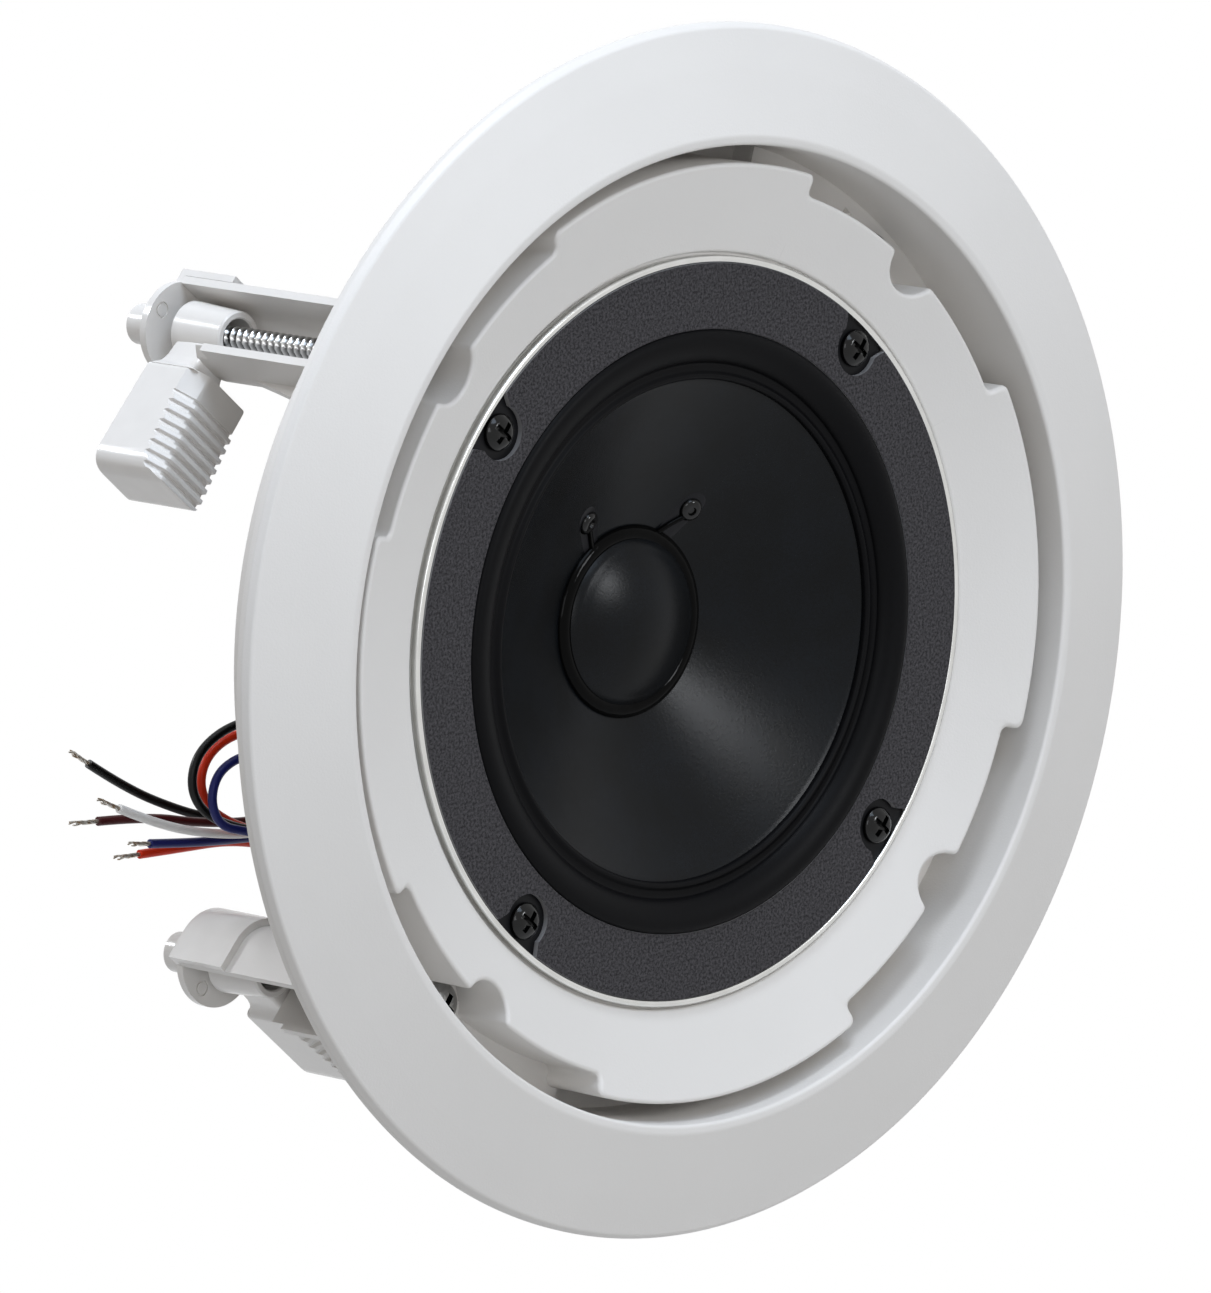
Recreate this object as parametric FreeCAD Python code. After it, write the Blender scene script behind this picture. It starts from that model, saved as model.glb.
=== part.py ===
"""Recessed ceiling loudspeaker: white bezel with four swing-out clamps, a four-inch driver
and a line transformer with five stripped leads. The grille is off.

Frame: millimetres, +Z up. Y is the loudspeaker's axis: the face looks to -Y, and y = 0 is the
plane where the back of the flange rests on the ceiling. Angles are seen from the front, from +X
towards +Z. A clamp is drawn at angle 0, where +X is radially outwards and +Z is sideways.
"""
import FreeCAD, Part
import math
import os

# Bezel flange and skirt
FLANGE_R = 97.0            # outer radius
FLANGE_RISE = 4.6          # the mouth stands this far ahead of the rim
FLANGE_WALL = 2.4
RIM_THICKNESS = 2.4
RIM_ROUND = 1.0
SEAT_WIDTH = 4.0           # flat ring that rests on the ceiling
MOUTH_R = 78.0             # inner edge of the flange, outer wall of the grille groove
LIP_ROUND = 0.6
SKIRT_WALL = 2.4
SKIRT_DEPTH = 19.0         # behind the ceiling plane
SKIRT_ROOT = 2.2           # buttress ahead of the ceiling plane, where the skirt meets the flange

# Baffle dish inside the grille groove
GROOVE_WIDTH = 3.0
BAFFLE_SETBACK = 2.5       # outer edge of the dish behind the mouth
BAFFLE_EDGE_ROUND = 0.8
BAFFLE_WALL = 2.2
DISH_DROP = 4.5            # the dish falls this far from its outer edge to the driver
GROOVE_DEPTH = 15.2        # from the mouth to the groove floor at the clamps
GROOVE_FLOOR = 2.0
TROUGH_HALF_ANGLE = 20.5   # between the clamps the groove is as deep as the skirt
TROUGH_END_WALL = 2.0
NOTCH_DEPTH = 3.4          # the dish steps in by this at each clamp
NOTCH_HALF_ANGLE = 22.4
NOTCH_CORNER = 1.2
SCALLOP_R = 5.2            # screwdriver way to each clamp screw
CLIP_HOLE_X = 74.7         # small square hole in the groove floor beside each clamp
CLIP_HOLE_SIDE = 8.4       # from the clamp's screw, sideways
CLIP_HOLE = 1.8

# Driver
DRIVER_GAP = 0.5           # round the rim, in the dish
DRIVER_RECESS = 1.0        # the rim sits this deep in the dish
SHEET = 1.0                # basket sheet steel
RIM_LIP = 1.1              # turned-up edge of the basket
RIM_LIP_HEIGHT = 0.8
LEDGE_WIDTH = 8.5          # ledge that carries the driver, from its rim inwards
CONE_CLEARANCE = 3.0       # cone's rim to the basket's mouth
BASKET_DEPTH = 27.0        # from the basket's flange to the back of its floor
LEDGE_DEPTH = 17.0         # from the basket's flange to the spider ledge
SPIDER_LEDGE_R = 40.2
BASKET_FLOOR_R = 32.0
BASKET_FLOOR_HOLE_R = 17.0
WINDOW_HALF_ANGLE = 33.0   # four openings in the basket's side
WINDOW_MARGIN = 2.0
DRIVER_SCREW_INSET = 4.6   # from the basket's rim
DRIVER_SCREW_R = 1.5
DRIVER_SCREW_LENGTH = 7.0
DRIVER_HEAD_R = 3.0
DRIVER_HEAD_HEIGHT = 1.7
GASKET = 0.9
GASKET_WIDTH = 10.55
GASKET_KEYHOLE_R = 4.4
GASKET_KEYHOLE_MOUTH = 11.0
SURROUND = 0.4
SURROUND_LIP = 2.4         # glued under the gasket
SURROUND_LAND = 3.3        # glued on the cone's rim
ROLL_WIDTH = 4.4
ROLL_RISE = 1.6
CONE_RIM_WIDTH = 2.6
CONE_EDGE_R = 40.6
CONE_EDGE_Y = 1.4
CONE_DEPTH = 13.8
CONE_PAPER = 0.5
CONE_BOW = 0.7             # the cone bellies back by this at mid height
CAP_R = 12.4
CAP_FOOT_R = 14.4
CAP_HEIGHT = 1.9
CAP_DOME = 0.7
CAP_WALL = 0.5
EYELET_R = 2.0
EYELET_HEIGHT = 0.9
EYELET_CIRCLE_R = 20.6
EYELET_ANGLES = (52.0, 118.5)

# Motor
POLE_R = 12.0
COIL_GAP = 0.45            # pole to former
FORMER_WALL = 0.15
WINDING_WALL = 0.4
WINDING_LENGTH = 7.0
PLATE_GAP = 0.4            # winding to top plate
TOP_PLATE_R = 34.0
TOP_PLATE = 5.0
MAGNET_R = 36.0
MAGNET_HOLE_R = 18.0
MAGNET = 12.0
BACK_PLATE_R = 33.0
BACK_PLATE = 4.5
SPIDER_CLOTH = 0.4
SPIDER_LIP = 5.0
SPIDER_WAVES = 5
SPIDER_WAVE = 0.8

# Terminal strip on the back of the spider ledge
STRIP_WIDTH = 16.0
STRIP_LENGTH = 10.0
STRIP = 1.2
STRIP_SETBACK = 1.4
LUG_WIDTH = 3.0
LUG_LENGTH = 9.0
LUG = 0.5
LUG_SPACING = 9.0
LUG_EYE_R = 0.8
RIVET_R = 1.0
RIVET_HEAD_R = 1.9
RIVET_HEAD = 0.6

# Line transformer on the back plate
CORE_LENGTH = 32.0
CORE_HEIGHT = 26.0
CORE_STACK = 14.0
CORE_LIMB = 5.5
CORE_WINDOW = 5.5
BOBBIN_WALL = 0.8
BOBBIN_GAP = 0.2
BOBBIN_FLANGE = 7.0        # beyond the stack
WINDING_INSET = 1.1        # winding below the bobbin's flange edge
STRAP = 0.8
EAR_LENGTH = 10.0
EAR_SCREW_INSET = 4.6      # from the ear's free end
STRAP_SCREW_R = 1.5
STRAP_SCREW_LENGTH = 4.4
STRAP_HEAD_R = 2.8
STRAP_HEAD_HEIGHT = 1.8

# Clamps
CLAMP_CIRCLE_R = 72.6
CLAMP_NAMES = {"upper_right": 45.0, "upper_left": 135.0, "lower_left": 225.0, "lower_right": 315.0}
TOWER_R = 7.0
TOWER_WALL = 1.4
TOWER_END = 59.0           # inner face of the end plate, behind the ceiling plane
TOWER_EDGE = 7.0           # free wall beyond the screw axis
STOP_EDGE = 5.0            # stop wall beyond the screw axis
ARM_WINDOW_FLOOR = -5.5
GUSSET = 1.6
GUSSET_REACH = 5.0
GUSSET_LENGTH = 26.0
HOOD_GAP = 0.05
HOOD_WALL = 1.2
HOOD_LENGTH = 11.0
HOOD_SIDE = 1.5            # the hood ends this far past the screw axis on the arm's side
END_PLATE_R = 7.7          # inside the skirt's outline
END_PLATE = 2.5
BOSS_R = 3.3
BOSS_LENGTH = 7.0
BOSS_WALL = 1.2
MARK_R = 1.3
MARK_WIDTH = 0.35
MARK_DEPTH = 0.25
SCREW_R = 1.95
SCREW_GAP = 0.05
SCREW_HEAD_R = 3.8
SCREW_HEAD = 2.4
DRIVE_WIDTH = 1.1
DRIVE_SPAN = 4.4
DRIVE_DEPTH = 1.3

# Clamp arm, folded sideways along the bezel
HUB_R = 5.0
HUB_TAPER = 0.7
ARM_END_GAP = 2.5          # arm to the end plate
HUB_LENGTH = 10.9
SWING_GAP = 0.3            # round the paddle's root as it swings
HUB_COUNTERBORE_R = 3.1
HUB_COUNTERBORE = 6.0
NECK_SETBACK = 1.8         # behind the hub's front
NECK_GAP = 0.8             # neck to the edge of the tower's window
NECK_HALF = 3.4
NECK_BACK_STEP = 1.0       # the neck's back lies ahead of the paddle's back
PADDLE_START = 8.6
PADDLE_END = 27.5
PADDLE_OUTER = 4.5
PADDLE_INNER = -7.7
PADDLE_LEAD = 1.1          # front face at the root, ahead of the hub
PADDLE_RAKE = 4.2          # the tip reaches this much further forward
PADDLE_BEVEL = 3.0
PADDLE_CORNER_OUTER = 6.0  # keeps the folded arm inside the skirt's outline
PADDLE_CORNER_INNER = 2.0
RIDGE_START = 13.0
RIDGE_COUNT = 8
RIDGE_DEPTH = 0.8

# Leads: insulated hook-up wire with a stripped, tinned end
LEAD_D = 1.5
TIP_D = 0.75

# Sizes that follow
LIP_Y = -(FLANGE_RISE + RIM_THICKNESS)
GASKET_R_IN = CONE_EDGE_R + SURROUND_LAND + ROLL_WIDTH
DRIVER_R = GASKET_R_IN + GASKET_WIDTH + SCREW_GAP + RIM_LIP    # pressed steel rim of the basket
LEDGE_R = DRIVER_R - LEDGE_WIDTH
BASKET_MOUTH_R = CONE_EDGE_R + CONE_RIM_WIDTH + CONE_CLEARANCE
DRIVER_SCREW_CIRCLE_R = DRIVER_R - DRIVER_SCREW_INSET
SKIRT_R = MOUTH_R + SKIRT_WALL
BAFFLE_R = MOUTH_R - GROOVE_WIDTH
BAFFLE_Y = LIP_Y + BAFFLE_SETBACK
NOTCH_R = BAFFLE_R - NOTCH_DEPTH
HOLE_R = DRIVER_R + DRIVER_GAP
HOLE_Y = BAFFLE_Y + DISH_DROP
SEAT_Y = HOLE_Y + DRIVER_RECESS
DECK_Y = SEAT_Y - SHEET            # front of the basket's flange
FLOOR_Y = LIP_Y + GROOVE_DEPTH
FLOOR_BACK = FLOOR_Y + GROOVE_FLOOR
BASKET_BACK = DECK_Y + BASKET_DEPTH
SPIDER_Y = DECK_Y + LEDGE_DEPTH
TOP_PLATE_BACK = BASKET_BACK + TOP_PLATE
MAGNET_BACK = TOP_PLATE_BACK + MAGNET
YOKE_BACK = MAGNET_BACK + BACK_PLATE
FORMER_IN = POLE_R + COIL_GAP
FORMER_OUT = FORMER_IN + FORMER_WALL
WINDING_OUT = FORMER_OUT + WINDING_WALL
CHANNEL_R = TOWER_R - TOWER_WALL
HOOD_IN = TOWER_R + HOOD_GAP
HOOD_OUT = HOOD_IN + HOOD_WALL
PLATE_BACK = TOWER_END + END_PLATE
BOSS_BACK = PLATE_BACK + BOSS_LENGTH
ARM_BACK = TOWER_END - ARM_END_GAP
HUB_FRONT = ARM_BACK - HUB_LENGTH
NECK_FRONT = HUB_FRONT + NECK_SETBACK
PADDLE_FRONT = HUB_FRONT - PADDLE_LEAD
ARM_WINDOW_START = NECK_FRONT - NECK_GAP      # the free wall ends here, so the arm can swing
SCREW_HOLE_R = SCREW_R + SCREW_GAP
SCREW_TIP = BOSS_BACK - BOSS_WALL - SCREW_GAP

AXIS = FreeCAD.Vector(0, 1, 0)
CENTRE = FreeCAD.Vector(0, 0, 0)


def vec(x, y, z=0.0):
    return FreeCAD.Vector(x, y, z)


def outline(start, *steps):
    """Closed face in the XY plane. A step is a point, or a pair (middle, end) for an arc."""
    edges = []
    here = vec(*start)
    for step in list(steps) + [start]:
        if isinstance(step[0], tuple):
            middle, end = vec(*step[0]), vec(*step[1])
            edges.append(Part.Arc(here, middle, end).toShape())
        else:
            end = vec(*step)
            if (end - here).Length < 1e-7:
                continue
            edges.append(Part.LineSegment(here, end).toShape())
        here = end
    return Part.Face(Part.Wire(edges))


def turned(start, *steps):
    """Solid of revolution about the loudspeaker's axis from (radius, y) points."""
    return outline(start, *steps).revolve(CENTRE, AXIS, 360)


def turn(shape, angle):
    """Copy turned about the axis, counter-clockwise as seen from the front."""
    copy = shape.copy()
    copy.rotate(CENTRE, -AXIS, angle)
    return copy


def sector(r_in, r_out, y0, y1, angle, half_angle):
    """Part of a ring, centred on an angle."""
    face = outline((r_in, y0), (r_out, y0), (r_out, y1), (r_in, y1))
    return turn(face.revolve(CENTRE, -AXIS, 2 * half_angle), angle - half_angle)


def rod(r, y0, y1, x=0.0, z=0.0):
    return Part.makeCylinder(r, y1 - y0, vec(x, y0, z), AXIS)


def tube(r_in, r_out, y0, y1):
    return turned((r_in, y0), (r_out, y0), (r_out, y1), (r_in, y1))


def block(x0, x1, y0, y1, z0, z1):
    return Part.makeBox(x1 - x0, y1 - y0, z1 - z0, vec(x0, y0, z0))


def polar(radius, angle):
    """X and Z of a point on a circle about the axis."""
    a = math.radians(angle)
    return radius * math.cos(a), radius * math.sin(a)


def prism(points, y0, y1):
    """Straight prism along Y from (x, z) corners."""
    corners = [vec(x, y0, z) for x, z in points]
    return Part.Face(Part.makePolygon(corners + corners[:1])).extrude(vec(0, y1 - y0, 0))


def one_solid(shape):
    return shape.removeSplitter().Solids[0]


def save(name, *solids):
    shape = solids[0] if len(solids) == 1 else Part.makeCompound(list(solids))
    shape.exportStep("parts/" + name + ".step")


def flange_front(r):
    """Y of the flange's conical front face."""
    run = (FLANGE_R - RIM_ROUND) - (MOUTH_R + LIP_ROUND)
    return LIP_Y + FLANGE_RISE * (r - MOUTH_R - LIP_ROUND) / run


def round_point(cx, cy, r, degrees):
    a = math.radians(degrees)
    return cx + r * math.cos(a), cy + r * math.sin(a)


def channel(wall_r, free_edge, stop_edge, y0, y1):
    """Clamp tower section: round towards the axis of the loudspeaker, open to the outside."""
    x = CLAMP_CIRCLE_R
    round_part = rod(wall_r, y0, y1, x)
    free = block(x, x + free_edge, y0, y1, 0, wall_r)
    stop = block(x, x + stop_edge, y0, y1, -wall_r, 0)
    inward = block(x - wall_r, x, y0, y1, -wall_r, wall_r)
    return round_part.common(inward).fuse([free, stop])


def paddle_face(z):
    """Y of the paddle's raked front at a distance from the screw's axis."""
    return PADDLE_FRONT - PADDLE_RAKE * (z - PADDLE_START) / (PADDLE_END - PADDLE_START)


def tower():
    """One clamp tower: a moulded channel with the screw's seat at its front."""
    x = CLAMP_CIRCLE_R
    wall = channel(TOWER_R, TOWER_EDGE, STOP_EDGE, FLOOR_Y, TOWER_END)
    hollow = channel(CHANNEL_R, TOWER_EDGE, STOP_EDGE, FLOOR_BACK, TOWER_END)
    window = block(x + ARM_WINDOW_FLOOR, x + TOWER_EDGE, ARM_WINDOW_START, TOWER_END, 0, TOWER_R)
    corner_r = math.hypot(TOWER_EDGE, TOWER_R)
    relief_start = paddle_face(corner_r) - SWING_GAP
    relief = block(x, x + TOWER_EDGE, relief_start, ARM_WINDOW_START, 0, TOWER_R)
    relief = relief.cut(rod(PADDLE_START - SWING_GAP, relief_start, ARM_WINDOW_START, x))
    ribs = []
    for side in (-1, 1):
        near, far = side * CHANNEL_R, side * (TOWER_R + GUSSET_REACH)
        face = [vec(x, SKIRT_DEPTH - GUSSET_REACH, near), vec(x, SKIRT_DEPTH - GUSSET_REACH, far),
                vec(x, SKIRT_DEPTH, far), vec(x, SKIRT_DEPTH + GUSSET_LENGTH, near)]
        rib = Part.Face(Part.makePolygon(face + face[:1])).extrude(vec(-GUSSET, 0, 0))
        ribs.append(rib)
    return wall.fuse(ribs).cut([hollow, window, relief])


def pocket(r, y0, y1):
    """Round pocket in front of a clamp screw, kept inside the notch's edge."""
    return rod(r, y0, y1, CLAMP_CIRCLE_R)


def notch(angle):
    """Step in the dish's edge at a clamp, with rounded inner corners."""
    step = sector(NOTCH_R, BAFFLE_R + GROOVE_WIDTH / 2, LIP_Y, FLOOR_Y, angle, NOTCH_HALF_ANGLE)
    corners = [e for e in step.Edges if abs(e.Length - GROOVE_DEPTH) < 1e-6
               and abs(math.hypot(e.CenterOfMass.x, e.CenterOfMass.z) - NOTCH_R) < 1e-6]
    return step.makeFillet(NOTCH_CORNER, corners)


def trough(angle):
    """Deep stretch of the grille groove between two clamps: a closed channel as deep as the skirt."""
    wall_in, wall_out = BAFFLE_R - BAFFLE_WALL, MOUTH_R + SKIRT_WALL / 2
    end_wall = math.degrees(TROUGH_END_WALL / BAFFLE_R)
    body = sector(wall_in, wall_out, FLOOR_Y, SKIRT_DEPTH, angle, TROUGH_HALF_ANGLE + end_wall)
    return body.cut(sector(BAFFLE_R, MOUTH_R, FLOOR_Y, SKIRT_DEPTH - GROOVE_FLOOR, angle,
                           TROUGH_HALF_ANGLE))


def bezel():
    """One moulding: flange, skirt, grille groove, notched dish and four clamp towers."""
    lip, rim = MOUTH_R + LIP_ROUND, FLANGE_R - RIM_ROUND
    seat_r, root_r = FLANGE_R - SEAT_WIDTH, SKIRT_R + SKIRT_ROOT
    shell = turned((MOUTH_R, LIP_Y + LIP_ROUND),
                   (round_point(lip, LIP_Y + LIP_ROUND, LIP_ROUND, 225), (lip, LIP_Y)),
                   (rim, -RIM_THICKNESS),
                   (round_point(rim, RIM_ROUND - RIM_THICKNESS, RIM_ROUND, -45),
                    (FLANGE_R, RIM_ROUND - RIM_THICKNESS)),
                   (FLANGE_R, 0), (seat_r, 0),
                   (seat_r, flange_front(seat_r) + FLANGE_WALL),
                   (root_r, flange_front(root_r) + FLANGE_WALL), (SKIRT_R, 0),
                   (SKIRT_R, SKIRT_DEPTH), (MOUTH_R, SKIRT_DEPTH))
    edge = BAFFLE_R - BAFFLE_EDGE_ROUND
    wall_in = BAFFLE_R - BAFFLE_WALL
    slope = DISH_DROP / (edge - HOLE_R)
    under = BAFFLE_WALL * math.hypot(1, slope)
    dish = turned((BAFFLE_R, FLOOR_BACK), (BAFFLE_R, BAFFLE_Y + BAFFLE_EDGE_ROUND),
                  (round_point(edge, BAFFLE_Y + BAFFLE_EDGE_ROUND, BAFFLE_EDGE_ROUND, -45),
                   (edge, BAFFLE_Y)),
                  (HOLE_R, HOLE_Y), (HOLE_R, SEAT_Y), (LEDGE_R, SEAT_Y),
                  (LEDGE_R, SEAT_Y + BAFFLE_WALL), (HOLE_R + BAFFLE_WALL, SEAT_Y + BAFFLE_WALL),
                  (wall_in, BAFFLE_Y + slope * (edge - wall_in) + under), (wall_in, FLOOR_BACK))
    adds, cuts = [], []
    for angle in CLAMP_NAMES.values():
        notch_in = NOTCH_R - BAFFLE_WALL
        dish_y = BAFFLE_Y + slope * (edge - NOTCH_R) + under / 2
        adds.append(sector(notch_in, NOTCH_R, dish_y, FLOOR_BACK, angle, NOTCH_HALF_ANGLE))
        adds.append(sector(notch_in, MOUTH_R + SKIRT_WALL / 2, FLOOR_Y, FLOOR_BACK, angle,
                           45 - TROUGH_HALF_ANGLE))
        adds.append(trough(angle + 45))
        pocket_wall = pocket(SCALLOP_R + BAFFLE_WALL, dish_y, FLOOR_BACK)
        adds.append(turn(pocket_wall, angle).common(rod(NOTCH_R, LIP_Y, FLOOR_BACK)))
        adds.append(turn(tower(), angle))
        cuts.append(notch(angle))
        cuts.append(turn(pocket(SCALLOP_R, LIP_Y, FLOOR_Y), angle))
        cuts.append(turn(rod(SCREW_HOLE_R, LIP_Y, FLOOR_BACK, CLAMP_CIRCLE_R), angle))
        clip_hole = block(CLIP_HOLE_X - CLIP_HOLE / 2, CLIP_HOLE_X + CLIP_HOLE / 2, FLOOR_Y, FLOOR_BACK,
                          CLIP_HOLE_SIDE - CLIP_HOLE / 2, CLIP_HOLE_SIDE + CLIP_HOLE / 2)
        cuts.append(turn(clip_hole, angle))
        mouth = block(CLAMP_CIRCLE_R, SKIRT_R + SKIRT_WALL, FLOOR_BACK, SKIRT_DEPTH,
                      -CHANNEL_R, CHANNEL_R)
        cuts.append(turn(mouth, angle))
        hollow = channel(CHANNEL_R, TOWER_EDGE, STOP_EDGE, FLOOR_BACK, SKIRT_DEPTH)
        cuts.append(turn(hollow, angle))
        x, z = polar(DRIVER_SCREW_CIRCLE_R, angle)
        cuts.append(rod(DRIVER_SCREW_R + SCREW_GAP, LIP_Y, FLOOR_BACK, x, z))
    return one_solid(shell.fuse([dish] + adds).cut(cuts))


def clamp_cap():
    """Hood over the rear of a tower, with the end plate and the boss that holds the screw's tip."""
    x = CLAMP_CIRCLE_R
    hood_start = TOWER_END - HOOD_LENGTH
    shell = channel(HOOD_OUT, STOP_EDGE, STOP_EDGE, hood_start, TOWER_END)
    hollow = channel(HOOD_IN, STOP_EDGE, STOP_EDGE, hood_start, TOWER_END)
    open_side = block(x - HOOD_OUT, x + STOP_EDGE, hood_start, TOWER_END, HOOD_SIDE, HOOD_OUT)
    hood = shell.cut([hollow, open_side])
    plate = rod(END_PLATE_R, TOWER_END, PLATE_BACK, x)
    plate = plate.fuse(channel(HOOD_OUT, STOP_EDGE, STOP_EDGE, TOWER_END, PLATE_BACK)
                       .cut(block(x - HOOD_OUT, x + STOP_EDGE, TOWER_END, PLATE_BACK,
                                  HOOD_SIDE, HOOD_OUT)))
    boss = rod(BOSS_R, PLATE_BACK, BOSS_BACK, x)
    hole = rod(SCREW_HOLE_R, TOWER_END, BOSS_BACK - BOSS_WALL, x)
    mark_x = x + (END_PLATE_R + BOSS_R) / 2
    mark = rod(MARK_R, TOWER_END, TOWER_END + MARK_DEPTH, mark_x)
    mark = mark.cut(rod(MARK_R - MARK_WIDTH, TOWER_END, TOWER_END + MARK_DEPTH, mark_x))
    return one_solid(hood.fuse([plate, boss]).cut([hole, mark]))


def cross_recess(depth, y, x=0.0, z=0.0):
    half, arm = DRIVE_WIDTH / 2, DRIVE_SPAN / 2
    first = block(x - half, x + half, y, y + depth, z - arm, z + arm)
    return first.fuse(block(x - arm, x + arm, y, y + depth, z - half, z + half))


def clamp_screw():
    """Long clamp screw: pan head on the groove floor, tip in the cap's boss."""
    x = CLAMP_CIRCLE_R
    head_back = FLOOR_Y - SCREW_GAP
    head_front = head_back - SCREW_HEAD
    head = rod(SCREW_HEAD_R, head_front, head_back, x)
    front_edges = [e for e in head.Edges if abs(e.CenterOfMass.y - head_front) < 1e-6]
    head = head.makeFillet(SCREW_HEAD / 2, front_edges)
    shank = rod(SCREW_R, head_back, SCREW_TIP, x)
    return one_solid(head.fuse(shank).cut(cross_recess(DRIVE_DEPTH, head_front, x)))


def ridged_side():
    """Side view of the paddle, (z, y) corners: raked front with ridges, straight back."""
    pitch = (PADDLE_END - RIDGE_START) / RIDGE_COUNT
    points = [(PADDLE_START, ARM_BACK), (PADDLE_START, PADDLE_FRONT)]
    for i in range(RIDGE_COUNT):
        valley = RIDGE_START + i * pitch
        crest = valley + pitch * 0.7
        points.append((valley, paddle_face(valley) + RIDGE_DEPTH))
        points.append((crest, paddle_face(crest)))
    points.append((PADDLE_END, paddle_face(PADDLE_END) + RIDGE_DEPTH))
    points.append((PADDLE_END, ARM_BACK))
    return points


def clamp_arm():
    """Clamp arm: hub on the screw, neck, and a paddle with a raked, ridged gripping face."""
    x = CLAMP_CIRCLE_R
    bevel_x = x + PADDLE_OUTER - PADDLE_BEVEL
    side = [vec(bevel_x, y, z) for z, y in ridged_side()]
    face = Part.Face(Part.makePolygon(side + side[:1]))
    main = face.extrude(vec(x + PADDLE_INNER - bevel_x, 0, 0))
    bevel = face.extrude(vec(PADDLE_BEVEL, PADDLE_BEVEL, 0))
    trim = block(x + PADDLE_INNER, x + PADDLE_OUTER, ARM_BACK, ARM_BACK + PADDLE_BEVEL * 2,
                 PADDLE_START, PADDLE_END)
    paddle = main.fuse(bevel.cut(trim))
    corners = block(x + PADDLE_INNER, x + PADDLE_OUTER, 0, ARM_BACK, PADDLE_START, PADDLE_END)
    tips = [e for e in corners.Edges
            if abs(e.CenterOfMass.z - PADDLE_END) < 1e-6 and abs(e.CenterOfMass.y - ARM_BACK / 2) < 1e-6]
    outer = [e for e in tips if abs(e.CenterOfMass.x - x - PADDLE_OUTER) < 1e-6]
    inner = [e for e in tips if abs(e.CenterOfMass.x - x - PADDLE_INNER) < 1e-6]
    corners = corners.makeFillet(PADDLE_CORNER_OUTER, outer)
    inner = [e for e in corners.Edges if any((e.CenterOfMass - i.CenterOfMass).Length < 1e-6 for i in inner)]
    paddle = paddle.common(corners.makeFillet(PADDLE_CORNER_INNER, inner))
    hub = Part.makeCone(HUB_R - HUB_TAPER, HUB_R, ARM_BACK - HUB_FRONT, vec(x, HUB_FRONT, 0), AXIS)
    neck = block(x - NECK_HALF, x + NECK_HALF, NECK_FRONT, ARM_BACK - NECK_BACK_STEP, 0, PADDLE_START)
    bore = rod(SCREW_HOLE_R, HUB_FRONT, ARM_BACK, x)
    counterbore = rod(HUB_COUNTERBORE_R, HUB_FRONT, HUB_FRONT + HUB_COUNTERBORE, x)
    return one_solid(hub.fuse([neck, paddle]).cut([bore, counterbore]))


def basket():
    """Pressed steel basket: flange with a turned-up rim, slanted side with four windows, floor."""
    lip = DRIVER_R - RIM_LIP
    lip_y = DECK_Y - RIM_LIP_HEIGHT
    body = turned((DRIVER_R, SEAT_Y), (DRIVER_R, lip_y), (lip, lip_y), (lip, DECK_Y),
                  (BASKET_MOUTH_R, DECK_Y), (SPIDER_LEDGE_R, SPIDER_Y), (BASKET_FLOOR_R, SPIDER_Y),
                  (BASKET_FLOOR_R, BASKET_BACK - SHEET), (BASKET_FLOOR_HOLE_R, BASKET_BACK - SHEET),
                  (BASKET_FLOOR_HOLE_R, BASKET_BACK), (BASKET_FLOOR_R + SHEET, BASKET_BACK),
                  (BASKET_FLOOR_R + SHEET, SPIDER_Y + SHEET),
                  (SPIDER_LEDGE_R + SHEET, SPIDER_Y + SHEET), (BASKET_MOUTH_R + SHEET, SEAT_Y))
    cuts = []
    for angle in CLAMP_NAMES.values():
        cuts.append(sector(BASKET_FLOOR_R + SHEET * 2, DRIVER_R, SEAT_Y + WINDOW_MARGIN,
                           SPIDER_Y - WINDOW_MARGIN, angle, WINDOW_HALF_ANGLE))
        x, z = polar(DRIVER_SCREW_CIRCLE_R, angle)
        cuts.append(rod(DRIVER_SCREW_R + SCREW_GAP, DECK_Y, SEAT_Y, x, z))
    strip_z = BASKET_FLOOR_R + SHEET + STRIP_SETBACK + STRIP_LENGTH / 3
    cuts.append(rod(RIVET_R + SCREW_GAP, SPIDER_Y, SPIDER_Y + SHEET, 0, strip_z))
    return one_solid(body.cut(cuts))


def gasket():
    """Fibre gasket ring over the surround's lip, notched round the four driver screws."""
    top = DECK_Y - GASKET
    outer = DRIVER_R - RIM_LIP - SCREW_GAP
    lip_r = GASKET_R_IN + SURROUND_LIP
    ring = turned((GASKET_R_IN, top), (outer, top), (outer, DECK_Y), (lip_r, DECK_Y),
                  (lip_r, DECK_Y - SURROUND), (GASKET_R_IN, DECK_Y - SURROUND))
    cuts = []
    x, half = DRIVER_SCREW_CIRCLE_R, GASKET_KEYHOLE_MOUTH / 2
    mouth = prism([(x, -GASKET_KEYHOLE_R), (DRIVER_R, -half), (DRIVER_R, half), (x, GASKET_KEYHOLE_R)],
                  top, DECK_Y)
    keyhole = mouth.fuse(rod(GASKET_KEYHOLE_R, top, DECK_Y, x))
    for angle in CLAMP_NAMES.values():
        cuts.append(turn(keyhole, angle))
    return one_solid(ring.cut(cuts))


def pan_screw(r, length, head_r, head_height, seat_y, x, z):
    head = rod(head_r, seat_y - head_height, seat_y, x, z)
    front = [e for e in head.Edges if abs(e.CenterOfMass.y - seat_y + head_height) < 1e-6]
    head = head.makeFillet(head_height * 0.6, front)
    screw = head.fuse(rod(r, seat_y, seat_y + length, x, z))
    return one_solid(screw.cut(cross_recess(head_height * 0.6, seat_y - head_height, x, z)))


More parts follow.
